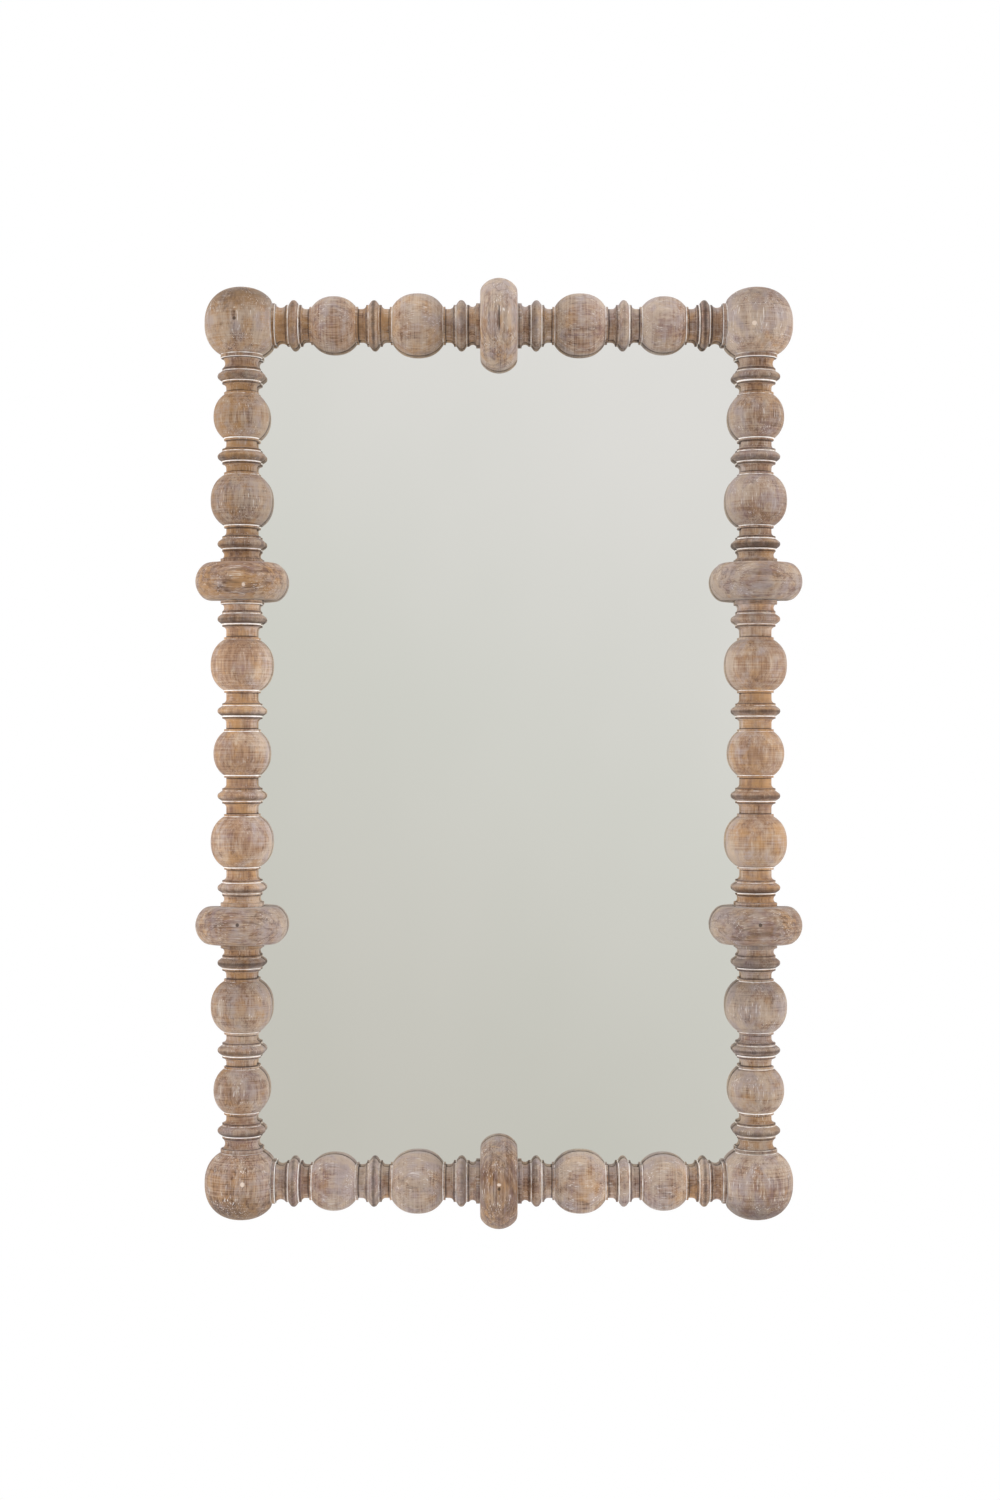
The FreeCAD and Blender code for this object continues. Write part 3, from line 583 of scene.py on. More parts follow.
@dataclass(frozen=True)
class Flaw:
    """A filled pin hole or a crack on the front of a piece, in millimetres from its middle."""

    across: float
    up: float
    wide: float = 2.0
    tall: float = 2.0
    FRONT = -15.0
    FADE = 5.0

    def offset(self, points: np.ndarray) -> np.ndarray:
        """Measure points from it in its own widths and heights, and by how far behind the front.

        Args:
            points: Places about the piece's middle: across, to the wall and up.

        Returns:
            The measures, less than 1 on the flaw itself.
        """
        x, y, z = np.moveaxis(points, -1, 0)
        depth = np.maximum(y - self.FRONT, 0) / self.FADE
        aside, above = (x - self.across) / self.wide, (z - self.up) / self.tall
        return np.stack((aside, depth, above), axis=-1)


COATS = {
    "corner_ball_top_left": Coat(0.44, 0.54, 0.82, 1.00),
    "corner_ball_top_right": Coat(0.72, 0.26, 1.02, 0.90),
    "corner_ball_bottom_left": Coat(0.44, 0.54, 0.89, 1.15),
    "corner_ball_bottom_right": Coat(0.66, 0.26, 0.88, 0.85),
    "disc_top": Coat(0.50, 0.46, 0.88, 0.90),
    "disc_bottom": Coat(0.58, 0.30, 0.76, 1.00),
    "disc_left_upper": Coat(0.36, 0.56, 0.90, 0.90),
    "disc_left_lower": Coat(0.48, 0.38, 0.90, 0.80),
    "disc_right_upper": Coat(0.66, 0.24, 0.84, 0.70),
    "disc_right_lower": Coat(0.62, 0.26, 0.80, 0.80),
    "spindle_top_left": Coat(0.52, 0.48, 0.93, 0.66),
    "spindle_top_right": Coat(0.60, 0.36, 0.93, 0.80),
    "spindle_bottom_left": Coat(0.66, 0.30, 0.90, 0.80),
    "spindle_bottom_right": Coat(0.64, 0.28, 0.93, 0.95),
    "spindle_left_upper": Coat(0.44, 0.56, 0.78, 0.72),
    "spindle_left_middle": Coat(0.42, 0.55, 1.06, 0.48),
    "spindle_left_lower": Coat(0.46, 0.52, 0.85, 0.70),
    "spindle_right_upper": Coat(0.58, 0.38, 0.80, 0.68),
    "spindle_right_middle": Coat(0.42, 0.58, 0.99, 0.30),
    "spindle_right_lower": Coat(0.66, 0.28, 0.78, 0.78),
}
FIGURES = {"disc": 0.9, "corner": 0.4, "spindle": 0.2}
FAR_OFF = Flaw(across=1000.0, up=1000.0)
DARK_FLAWS = {
    "corner_ball_top_left": Flaw(-3.9, 0.5),
    "disc_left_lower": Flaw(0.2, 3.2),
    "disc_right_lower": Flaw(-0.2, 3.2),
    "disc_bottom": Flaw(0.3, 1.0, 1.6, 1.8),
    "disc_top": Flaw(0.3, -1.0, 1.1, 15.0),
}
LIGHT_FLAWS = {
    "corner_ball_top_right": Flaw(-5.5, -4.6, 2.6, 2.4),
    "corner_ball_bottom_left": Flaw(4.7, 4.0, 2.2, 2.6),
    "disc_left_upper": Flaw(6.7, -5.9, 1.7, 2.0),
    "disc_bottom": Flaw(0.0, 5.5, 2.2, 1.6),
}


class Mark(NamedTuple):
    """Paste or grime on an outline: its strength from 0 to 1 and its width in millimetres."""

    strength: float
    width: float


@dataclass(frozen=True)
class Stock:
    """A finished half outline: places along the axis, radii, and the paste and the painted shade
    with grime there.
    """

    along: np.ndarray
    radius: np.ndarray
    paste: np.ndarray
    shade_and_grime: np.ndarray


class Outline:
    """Half outline of a turning, gathered section by section, with its quirks marked on the way."""

    STEP = 0.15
    SOFTENING = 0.3
    QUIRK_DEPTH = 0.45
    QUIRK_WIDTH = 0.5
    SHADOW_REACH = 1.7
    SHADOW = Mark(0.9, 0.55)
    BEND_WEIGHT = 26.0
    PASTE_WEIGHT = 3.0

    def __init__(self, along: float, radius: float) -> None:
        """Start at a place along the axis and a radius, in millimetres."""
        self.along = [np.array([along])]
        self.radius = [np.array([radius])]
        self.run = 0.0
        self.pastes: list[Triple] = []
        self.shade_and_grime_marks: list[Triple] = []

    @property
    def here(self) -> Spot:
        """Give the present place along the axis and the radius there."""
        return float(self.along[-1][-1]), float(self.radius[-1][-1])

    def _add(self, along: np.ndarray, radius: np.ndarray) -> "Outline":
        """Take in a section whose first point is the present one."""
        self.run += float(np.hypot(np.diff(along), np.diff(radius)).sum())
        self.along.append(along[1:])
        self.radius.append(radius[1:])
        return self

    def line(self, advance: float, radius: float) -> "Outline":
        """Go straight to a radius, further along by advance."""
        start, first = self.here
        share = np.linspace(0, 1, 2 + int(math.hypot(advance, radius - first) / self.STEP))
        return self._add(start + advance * share, first + (radius - first) * share)

    def bow(self, advance: float, radius: float, bend: float, hollow: bool = False) -> "Outline":
        """Go to a radius along an arc.

        The arc's centre lies square to the middle of the chord, towards the axis for a swelling
        and away from it for a hollow, at the distance that makes the bend's radius.

        Args:
            advance: How far along the axis the arc goes.
            radius: The radius at its end.
            bend: The arc's own radius.
            hollow: True for a cove, False for a rounded edge.

        Returns:
            The outline itself.
        """
        start, first = self.here
        climb = radius - first
        chord = math.hypot(advance, climb)
        side = 1 if hollow else -1
        reach = side * math.sqrt(max(bend * bend - chord * chord / 4, 0)) / chord
        along, up = start + advance / 2 - climb * reach, (first + radius) / 2 + advance * reach
        sweep = side * 2 * math.asin(min(chord / 2 / bend, 1))
        turn = math.atan2(first - up, start - along)
        angles = turn + sweep * np.linspace(0, 1, 2 + int(abs(sweep) * bend / self.STEP))
        return self._add(along + bend * np.cos(angles), up + bend * np.sin(angles))

    def crest(self, advance: float, radius: float, fullness: float) -> "Outline":
        """Go along one half of a ball, up to its widest place or down from there.

        The half is a quarter of a superellipse about the widest place: the share of its reach and
        the share of the widest radius, each to the power of the fullness, make one.

        Args:
            advance: How far along the axis the half goes.
            radius: The radius at its end.
            fullness: The superellipse's power, 2 being round.

        Returns:
            The outline itself.
        """
        start, first = self.here
        top, foot = max(first, radius), min(first, radius)
        power = 2 / fullness
        low = math.asin((foot / top) ** (1 / power))
        angles = np.linspace(low, np.pi / 2, 2 + int(2 * advance / self.STEP))
        across = advance * (np.clip(np.cos(angles), 0, 1) / math.cos(low)) ** power
        up = top * np.sin(angles) ** power
        if radius < first:
            return self._add(start + across[::-1], up[::-1])
        return self._add(start + advance - across, up)

    def quirk(self, strength: float, width: float) -> None:
        """Mark a fine groove here that keeps paste, with painted shadow on both its sides."""
        self.pastes.append((self.run, strength, width))
        for reach in (-self.SHADOW_REACH, self.SHADOW_REACH):
            shadow = self.SHADOW.strength * strength
            self.shade_and_grime_marks.append((self.run + reach, shadow, self.SHADOW.width))

    def corner(self, strength: float, width: float) -> None:
        """Mark painted shade here, as in a corner or on a flank, or a band of darker grime."""
        self.shade_and_grime_marks.append((self.run, strength, width))

    @staticmethod
    def _gathered(marks: list[Triple], run: np.ndarray) -> np.ndarray:
        """Add up the marks along the run, each a bell curve of its own strength and width."""
        if not marks:
            return np.zeros_like(run)
        place, strength, width = np.array(marks).T[:, :, None]
        return np.clip((strength * np.exp(-(((run - place) / width) ** 2))).sum(axis=0), 0, 1)

    def _softened(self, values: np.ndarray) -> np.ndarray:
        """Smooth values over the length by which sanding rounds a corner."""
        reach = int(3 * self.SOFTENING / self.STEP)
        steps = np.arange(-reach, reach + 1) * self.STEP
        bell = np.exp(-((steps / self.SOFTENING) ** 2) / 2)
        padded = np.pad(values, reach, mode="edge")
        smooth = np.convolve(padded, bell / bell.sum(), mode="valid")
        smooth[[0, -1]] = values[[0, -1]]
        return smooth

    def finished(self, count: int) -> Stock:
        """Sand the outline, cut its quirks, and choose points closest where it bends most.

        Args:
            count: The number of points.

        Returns:
            The finished outline.
        """
        along, radius = np.concatenate(self.along), np.concatenate(self.radius)
        run = np.concatenate(([0.0], np.cumsum(np.hypot(np.diff(along), np.diff(radius)))))
        even = np.linspace(0, run[-1], int(run[-1] / self.STEP))
        along, radius = (self._softened(np.interp(even, run, row)) for row in (along, radius))
        paste, shade_and_grime = self._gathered(self.pastes, even), self._gathered(self.shade_and_grime_marks, even)
        cuts = [(place, strength, self.QUIRK_WIDTH) for place, strength, _ in self.pastes]
        radius = np.maximum(radius - self.QUIRK_DEPTH * self._gathered(cuts, even), 0)
        lean = np.unwrap(np.arctan2(np.gradient(radius), np.gradient(along)))
        weight = 1 + self.BEND_WEIGHT * np.abs(np.gradient(lean)) + self.PASTE_WEIGHT * paste
        share = np.cumsum(weight)
        pick = np.interp(np.linspace(share[0], share[-1], count), share, even)
        return Stock(*(np.interp(pick, even, row) for row in (along, radius, paste, shade_and_grime)))


def planed_rings(stock: Stock, flat: float, arc: int, chord: int) -> np.ndarray:
    """Carry a half outline round its axis, X, and plane the back of it flat.

    A ring of radius r follows its circle at even angles from one edge of the flat, round the
    front, -Y, to the other edge, and then crosses the flat in even steps. With the flat at a
    distance f behind the axis its edges stand at the angle pi - acos(f / r) from the front.

    Args:
        stock: The half outline.
        flat: Distance of the flat from the axis.
        arc: Steps round the circle.
        chord: Steps across the flat.

    Returns:
        Points in rows along the axis and columns round it.
    """
    radius = stock.radius[:, None]
    edge = np.pi - np.arccos(flat / np.maximum(radius, flat))
    turn = edge * np.linspace(-1, 1, arc + 1)
    cross = np.linspace(1, -1, chord + 1)[1:-1]
    back = np.broadcast_to(-radius * np.cos(edge), (len(radius), chord - 1))
    depth = np.hstack((-radius * np.cos(turn), back))
    side = np.hstack((radius * np.sin(turn), radius * np.sin(edge) * cross))
    return np.stack((np.broadcast_to(stock.along[:, None], side.shape), depth, side), axis=-1)


def grid_object(name: str, grid: np.ndarray, values: dict[str, np.ndarray]) -> bpy.types.Object:
    """Make an object from one grid of points, or several, that close on themselves sideways.

    Each point meets the next in its row and column, the last column meets the first, and points
    that fall together, as at a pole, are merged.

    Args:
        name: The piece's name.
        grid: Points in metres, in rows and columns.
        values: What the mesh carries at its points: one number, or three, for each.

    Returns:
        The object, linked to the scene.
    """
    grids = grid.reshape(-1, *grid.shape[-3:])
    index = np.arange(grids[..., 0].size).reshape(grids.shape[:-1])
    beside = np.roll(index, -1, axis=2)
    corners = (index[:, :-1], index[:, 1:], beside[:, 1:], beside[:, :-1])
    faces = np.stack(corners, axis=-1).reshape(-1, 4)
    mesh = bpy.data.meshes.new(name)
    mesh.vertices.add(index.size)
    mesh.vertices.foreach_set("co", grids.astype(np.float32).ravel())
    mesh.loops.add(faces.size)
    mesh.loops.foreach_set("vertex_index", faces.astype(np.int32).ravel())
    mesh.polygons.add(len(faces))
    mesh.polygons.foreach_set("loop_start", np.arange(0, faces.size, 4, dtype=np.int32))
    for key, value in values.items():
        triple = value.shape == grid.shape
        kind, channel = ("FLOAT_VECTOR", "vector") if triple else ("FLOAT", "value")
        carried = mesh.attributes.new(key, kind, "POINT")
        carried.data.foreach_set(channel, value.astype(np.float32).ravel())
    mesh.update(calc_edges=True)
    shell = bmesh.new()
    shell.from_mesh(mesh)
    bmesh.ops.remove_doubles(shell, verts=shell.verts, dist=MERGE_DISTANCE)
    shell.to_mesh(mesh)
    shell.free()
    mesh.shade_smooth()
    mesh.set_sharp_from_angle(angle=SHARP_ANGLE)
    made = bpy.data.objects.new(name, mesh)
    bpy.context.scene.collection.objects.link(made)
    return made


def settle(piece: bpy.types.Object, finish: Finish, node: str) -> None:
    """Paint a new piece, let it stand for its CAD node and report it.

    Args:
        piece: The new piece.
        finish: Its finish.
        node: The node that it stands for.
    """
    piece.data.materials.append(finish.material())
    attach(piece, FRAME_BODY)
    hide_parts(node)
    LOG.info("%s: %d faces, %s", piece.name, len(piece.data.polygons), finish.name)


def dress(node: str, finish: Finish) -> None:
    """Give a CAD node whose shape is right a better finish."""
    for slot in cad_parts[node].material_slots:
        slot.material = finish.material()
    LOG.info("%s: %s", node, finish.name)


@dataclass(frozen=True)
class Ball:
    """A turned ball: its radius, its superellipse's power, and whether a screw goes into it."""

    radius: float
    fullness: float
    screwed: bool = False


@dataclass(frozen=True)
class TurningSizes:
    """Sizes of the turnings in millimetres, as the turner reads them off the story stick."""

    corner_ball: Ball = Ball(39.5, 2.28, screwed=True)
    small_ball: Ball = Ball(30.0, 2.15)
    large_ball: Ball = Ball(33.0, 2.25, screwed=True)
    disc: float = 49.3
    disc_half: float = 19.9
    rim_depth: float = 15.0
    shoulder: float = 10.5
    lip: float = 18.8
    lip_width: float = 2.6
    neck: float = 16.4
    short_neck: float = 8.8
    long_neck: float = 11.27
    bead: float = 25.8
    bead_half: float = 5.5
    bead_nose: float = 3.85
    ring: float = 20.75
    ring_width: float = 2.7
    collar: float = 22.5
    collar_width: float = 4.5
    corner_cove: float = 11.0
    disc_cove: float = 7.6
    cove_share: float = 0.28
    flat: float = 10.0
    tenon: float = 8.0
    tenon_chamfer: float = 1.5
    corner_tenon: float = 19.386
    disc_tenon: float = 19.4
    seat_ease: float = 0.7

    @property
    def corner_seat(self) -> float:
        """Distance of a collar's seat from the middle of a corner ball."""
        return math.sqrt(self.corner_ball.radius**2 - self.collar**2)


class SpindleOutline(Outline):
    """Half outline of a turned length, with paste lines drawn by chance as a brush leaves them."""

    PASTE = Mark(0.77, 0.9)
    PASTE_ON_STILES = 0.06
    PASTE_UPWARDS = -0.03
    PASTE_FACING_HIGHLIGHT = 0.14
    # Painted highlight: paste lines on edges that face up are brighter, as lit from above.
    PASTE_NARROWS = 0.14
    PASTE_SPREAD = (0.6, 1.0)
    WIDTH_SPREAD = (0.8, 1.2)
    # Painted shade on the beads' flanks, deeper on the one that faces down.
    FLANK = Mark(0.3, 2.4)
    FLANK_FACING = 0.26
    FLANK_SPREAD = (0.7, 1.1)
    NOSE_SPREAD = (0.25, 0.65)
    NOSE_WIDTH = 2.2
    # Painted shade in the concave corners: at the collars, at the rings' feet and at the necks'
    # ends.
    LAST_COLLAR = Mark(0.6, 0.7)
    COLLAR_FOOT = Mark(0.7, 0.8)
    RING_FOOT = Mark(0.7, 0.75)
    NECK_END = Mark(1.0, 1.05)

    def __init__(
        self, sizes: TurningSizes, length: Length, rise: int, rng: np.random.Generator
    ) -> None:
        """Draw the length, from tenon to tenon.

        Args:
            sizes: The turner's sizes.
            length: Its kind.
            rise: 1 where the length goes up from its start, -1 where it goes down, 0 where level.
            rng: Chance, the same on each run.
        """
        self.sizes, self.rise, self.rng = sizes, rise, rng
        self.screw_places: list[float] = []
        small, large = sizes.small_ball, sizes.large_ball
        if length is Length.CORNER_TO_DISC:
            seat, tenon, cove = sizes.corner_seat, sizes.corner_tenon, sizes.corner_cove
            balls, neck = (small, large), sizes.short_neck
        else:
            seat, tenon, cove = sizes.disc_half, sizes.disc_tenon, sizes.disc_cove
            balls, neck = (large, small, large), sizes.long_neck
        super().__init__(seat - tenon, 0)
        self.line(0, sizes.tenon - sizes.tenon_chamfer).line(sizes.tenon_chamfer, sizes.tenon)
        self.line(tenon - sizes.tenon_chamfer, sizes.tenon)
        self.collar(first=True)
        self.cove(cove)
        self.beaded()
        for ball in balls:
            self.ball(ball, neck)
            self.beaded()
        self.cove(sizes.disc_cove)
        self.collar(first=False)
        self.line(0, sizes.tenon).line(sizes.disc_tenon - sizes.tenon_chamfer, sizes.tenon)
        self.line(sizes.tenon_chamfer, sizes.tenon - sizes.tenon_chamfer).line(0, 0)

    def line_of_paste(self, faces: int) -> None:
        """Leave a line of paste, brighter where the edge faces up, which is paste with a painted
        highlight from above: faces is 1 on along, -1 back.
        """
        lift = self.PASTE.strength + self.PASTE_ON_STILES * abs(self.rise)
        lift += (self.PASTE_UPWARDS + self.PASTE_FACING_HIGHLIGHT * faces) * self.rise
        strength = lift * self.rng.uniform(*self.PASTE_SPREAD)
        width = self.PASTE.width - self.PASTE_NARROWS * self.rise
        self.quirk(strength, width * self.rng.uniform(*self.WIDTH_SPREAD))

    def shade(self, faces: int) -> None:
        """Paint shade on a flank, deeper where it faces down: faces is 1 on along, -1 back."""
        depth = self.FLANK.strength - self.FLANK_FACING * faces * self.rise
        self.corner(depth * self.rng.uniform(*self.FLANK_SPREAD), self.FLANK.width)

    def collar(self, first: bool) -> None:
        """Add the collar that seats on a corner ball or a disc, at the first or the last end."""
        size = self.sizes
        self.line(0, size.collar)
        if first:
            self.line_of_paste(1)
        else:
            self.corner(*self.LAST_COLLAR)
        self.line(size.collar_width, size.collar)
        self.line_of_paste(-1 if first else 1)
        if first:
            self.line(0, size.ring)
            self.corner(*self.COLLAR_FOOT)

    def cove(self, length: float) -> None:
        """Add the hollow between a collar and a bead."""
        depth = length * self.sizes.cove_share
        bend = (length**2 / 4 + depth**2) / depth / 2
        self.line(0, self.sizes.ring).bow(length, self.sizes.ring, bend, hollow=True)

    def beaded(self) -> None:
        """Add a bead: flanks tangent to a round nose, on a ring that shows at both sides.

        The flank leaves the ring at the bead's foot and touches the nose where it stands square
        to the nose's radius.
        """
        size = self.sizes
        rise = size.bead - size.ring - size.bead_nose
        reach = math.hypot(size.bead_half, rise)
        flank = math.sqrt(reach**2 - size.bead_nose**2)
        lean = size.bead_nose / reach**2
        across = (size.bead_half * size.bead_nose + rise * flank) * lean
        up = rise + (size.bead_half * flank - rise * size.bead_nose) * lean
        self.corner(*self.RING_FOOT)
        self.line(size.ring_width, size.ring)
        self.line_of_paste(1)
        self.line(size.bead_half - across, size.ring + up)
        self.shade(-1)
        self.bow(across, size.bead, size.bead_nose)
        self.corner(self.rng.uniform(*self.NOSE_SPREAD), self.NOSE_WIDTH)
        self.bow(across, size.ring + up, size.bead_nose)
        self.shade(1)
        self.line(size.bead_half - across, size.ring)
        self.line_of_paste(-1)
        self.line(size.ring_width, size.ring)
        self.corner(*self.RING_FOOT)

    def ball(self, ball: Ball, neck: float) -> None:
        """Add a ball with its lips, between two necks that end in small coves at the beads.

        Args:
            ball: The ball.
            neck: Length of each neck, its cove counted in.
        """
        size = self.sizes
        cove = size.ring - size.neck
        chord = math.sqrt(ball.radius**2 - size.lip**2)
        self.bow(cove, size.neck, cove, hollow=True)
        self.line(neck - cove, size.neck)
        self.corner(*self.NECK_END)
        self.line(0, size.lip).line(size.lip_width, size.lip)
        self.line_of_paste(1)
        self.crest(chord, ball.radius, ball.fullness)
        if ball.screwed:
            self.screw_places.append(self.here[0])
        self.crest(chord, size.lip, ball.fullness)
        self.line_of_paste(-1)
        self.line(size.lip_width, size.lip).line(0, size.neck)
        self.corner(*self.NECK_END)
        self.line(neck - cove, size.neck)
        self.bow(cove, size.ring, cove, hollow=True)


@dataclass(frozen=True)
class Wear:
    """How turning, brushing and wiping tell on a piece, and where painted light and shade go;
    lengths are in millimetres.
    """

    waves: int = 5
    wave_lengths: Spot = (20.0, 90.0)
    bite: float = 0.11
    bite_radius: float = 12.0
    wander: float = 34.0
    tone_spread: float = 0.035
    haze_spread: float = 0.13
    warmth_spread: float = 0.15
    tone_range: Spot = (0.6, 1.2)
    plank_ranges: tuple[Spot, Spot, Spot] = ((0, 900), (30, 60), (-50, 50))
    lathe_radius: float = 20.0
    # Painted light: more haze on the lit side, and warmth for painted bounce light on the far side.
    lit_side_haze: float = 0.45
    bounce_warmth: float = 0.12
    neck_radius: float = 22.0
    neck_fade: float = 4.0
    # Painted fill light: the necks are lightened, the rails' more than the stiles'.
    stile_neck_fill_light: float = 0.13
    rail_neck_fill_light: float = 0.24
    neck_haze: float = -0.2
    neck_warmth: float = 0.1
    end_start: float = -6.0
    end_fade: float = 24.0
    end_tone: float = -0.36
    end_haze: float = -0.3
    # Painted shade behind the axis, towards the glass and the wall.
    back_start: float = 3.0
    back_fade: float = 6.0
    back_shade: float = 0.7
    planed_share: float = 0.1
    # Painted shade round the disc where the collar seats on it.
    disc_foot: Mark = Mark(0.6, 2.5)
    seat_line: Mark = Mark(0.5, 1.0)
    rail_seat_line: Mark = Mark(0.5, 1.1)
    rail_seat_depth: float = 6.0


@dataclass
class TurnedFrame:
    """The turned frame: ten lengths, six discs and four corner balls of limed wood."""

    sizes: TurningSizes = TurningSizes()
    wear: Wear = Wear()
    wood: LimedWood = LimedWood()
    spindle_steps: tuple[int, int] = (96, 6)
    disc_steps: tuple[int, int] = (144, 10)
    ball_steps: tuple[int, int] = (180, 8)
    round_points: int = 150
    screw_places: list[Spot] = field(default_factory=list)

    def __post_init__(self) -> None:
        """Read the middles of the rails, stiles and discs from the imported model."""
        self.left, self.upper = self.middle("disc_left_upper")
        self.right, self.lower = self.middle("disc_right_lower")
        self.top, self.bottom = (self.middle(f"disc_{end}")[1] for end in ("top", "bottom"))
        self.axis_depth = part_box("disc_top")[0].y / MM + self.sizes.disc
        self.rng = np.random.default_rng(SEED)

    @staticmethod
    def middle(node: str) -> Spot:
        """Give the middle of a node across and up, in millimetres."""
        low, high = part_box(node)
        return (low.x + high.x) / 2 / MM, (low.z + high.z) / 2 / MM

    def planed(self, grid: np.ndarray) -> np.ndarray:
        """Tell which points lie on the flat at the back."""
        return grid[..., 1] > self.sizes.flat - TOUCH

    def turned(self, stock: Stock, steps: tuple[int, int]) -> np.ndarray:
        """Carry an outline round, and take off the little that hand turning does: slow waves.

        Each wave is a sine of the point's place times a wave vector; their sum only ever takes
        wood off, by up to about a quarter of a millimetre.

        Args:
            stock: The half outline.
            steps: Steps round the front and across the flat.

        Returns:
            Points in rows along the axis and columns round it.
        """
        wear = self.wear
        grid = planed_rings(stock, self.sizes.flat, *steps)
        waves = self.rng.normal(size=(wear.waves, 3))
        lengths = self.rng.uniform(*wear.wave_lengths, wear.waves)
        waves *= (2 * np.pi / lengths / np.linalg.norm(waves, axis=1))[:, None]
        phases = self.rng.uniform(0, 2 * np.pi, wear.waves)
        lift = np.sin(grid @ waves.T + phases).mean(axis=-1)
        inward = np.where(self.planed(grid), 0, wear.bite * (lift - 1))
        radius = np.linalg.norm(grid[..., 1:], axis=-1)
        scale = 1 + inward / np.maximum(radius, wear.bite_radius)
        return np.concatenate((grid[..., :1], grid[..., 1:] * scale[..., None]), axis=-1)

    def slow(self, place: np.ndarray, spread: float) -> np.ndarray:
        """Draw a value that wanders along a piece, with new draws at even steps."""
        step = self.wear.wander
        knots = np.arange(place.min() - step, place.max() + 2 * step, step)
        return np.interp(place, knots, self.rng.normal(0, spread, knots.size))

    @staticmethod
    def lit_side(grid: np.ndarray, centre: Spot, heading: Heading) -> np.ndarray:
        """Tell how squarely points face the side that gets painted light, as more haze, with
        painted warm bounce light on the far side.

        That is the side towards the glass on the stiles, and the upper side on the rails.

        Args:
            grid: Points about the piece's own axis.
            centre: Place of the piece's middle, across and up.
            heading: The way its axis runs.

        Returns:
            The square of the cosine of the angle to that side, below 0 on the far side.
        """
        radial = heading.turn(grid * (0, 1, 1))
        radial /= np.maximum(np.linalg.norm(radial, axis=-1, keepdims=True), 1)
        cosine = -radial[..., 0] * np.sign(centre[0]) if heading.rise else radial[..., 2]
        return cosine * np.abs(cosine)

    def finish_piece(
        self,
        node: str,
        grid: np.ndarray,
        centre: Spot,
        heading: Heading,
        marks: tuple[np.ndarray, np.ndarray],
        plank: np.ndarray | None = None,
    ) -> None:
        """Set a turned grid in its place and give it what the wood's finish reads.

        Args:
            node: The CAD node that it stands for.
            grid: Points about the piece's own axis, in millimetres.
            centre: Place of the piece's middle, across and up.
            heading: The way its axis runs.
            marks: Paste, and painted shade with grime, at the points or at each row.
            plank: The points in the plank, where the grain doesn't run along the axis.
        """
        wear, coat = self.wear, COATS[node]
        station, depth = grid[..., 0], grid[..., 1]
        around = np.arctan2(grid[..., 2], -depth)
        planed = self.planed(grid)
        # Painted shade behind the axis, with a little of it on the planed flat.
        back = np.clip((depth - wear.back_start) / wear.back_fade, 0, 1)
        back = wear.back_shade * np.where(planed, wear.planed_share, back)
        turned = heading.turn(grid)
        lit_side = self.lit_side(grid, centre, heading)
        end = np.clip((wear.end_start - station) / wear.end_fade, 0, 1)
        end = end * node.startswith("corner")
        radius = np.linalg.norm(grid[..., 1:], axis=-1)
        neck = np.clip((wear.neck_radius - radius) / wear.neck_fade, 0, 1)
        # Painted fill light in the necks, which the lamps reach poorly.
        neck_fill_light = wear.stile_neck_fill_light if heading.rise else wear.rail_neck_fill_light
        shift = np.array([self.rng.uniform(*span) for span in wear.plank_ranges])
        tone = np.clip(coat.tone + self.slow(station, wear.tone_spread), *wear.tone_range)
        haze = np.clip(coat.haze + self.slow(station, wear.haze_spread), 0, 1)
        # Painted light: more haze on the side towards the glass or upwards, warmer on the far side.
        haze += wear.lit_side_haze * lit_side.clip(0) + wear.neck_haze * neck + wear.end_haze * end
        warmth = np.clip(coat.warmth + self.slow(station, wear.warmth_spread), 0, 1)
        warmth += wear.neck_warmth * neck + wear.bounce_warmth * (-lit_side).clip(0)
        lathe = np.stack((station + shift[0], wear.lathe_radius * around, 0 * around), axis=-1)
        paste, shade_and_grime = (np.broadcast_to(mark, station.shape) for mark in marks)
        values = {
            "plank": ((grid if plank is None else plank) + shift) * MM,
            "lathe": lathe * MM,
            "paste": paste,
            "shade_and_grime": np.maximum(shade_and_grime, back),
            "haze": np.where(planed, 0, haze),
            "warmth": warmth,
            "tone": tone + neck_fill_light * neck + wear.end_tone * end,
            "figure": np.full(station.shape, FIGURES[node.split("_")[0]]),
            "open_grain": np.full(station.shape, coat.open_grain),
            "dark_flaw": DARK_FLAWS.get(node, FAR_OFF).offset(turned),
            "light_flaw": LIGHT_FLAWS.get(node, FAR_OFF).offset(turned),
        }
        points = turned + np.array((centre[0], self.axis_depth, centre[1]))
        piece = grid_object(f"{node}_turned", points * MM, values)
        settle(piece, self.wood, node)

    def spindle(self, node: str, length: Length, start: Spot, heading: Heading) -> None:
        """Turn one length and set it between its neighbours.

        Args:
            node: The CAD node that it stands for.
            length: Its kind.
            start: Middle of the ball or disc where it starts.
            heading: The way it runs from there.
        """
        outline = SpindleOutline(self.sizes, length, heading.rise, self.rng)
        stock = outline.finished(length.value)
        grid = self.turned(stock, self.spindle_steps)
        marks = (stock.paste[:, None], stock.shade_and_grime[:, None])
        self.finish_piece(node, grid, start, heading, marks)
        steps = np.array([(place, 0.0, 0.0) for place in outline.screw_places])
        for across, _, up in heading.turn(steps).tolist():
            self.screw_places.append((start[0] + across, start[1] + up))

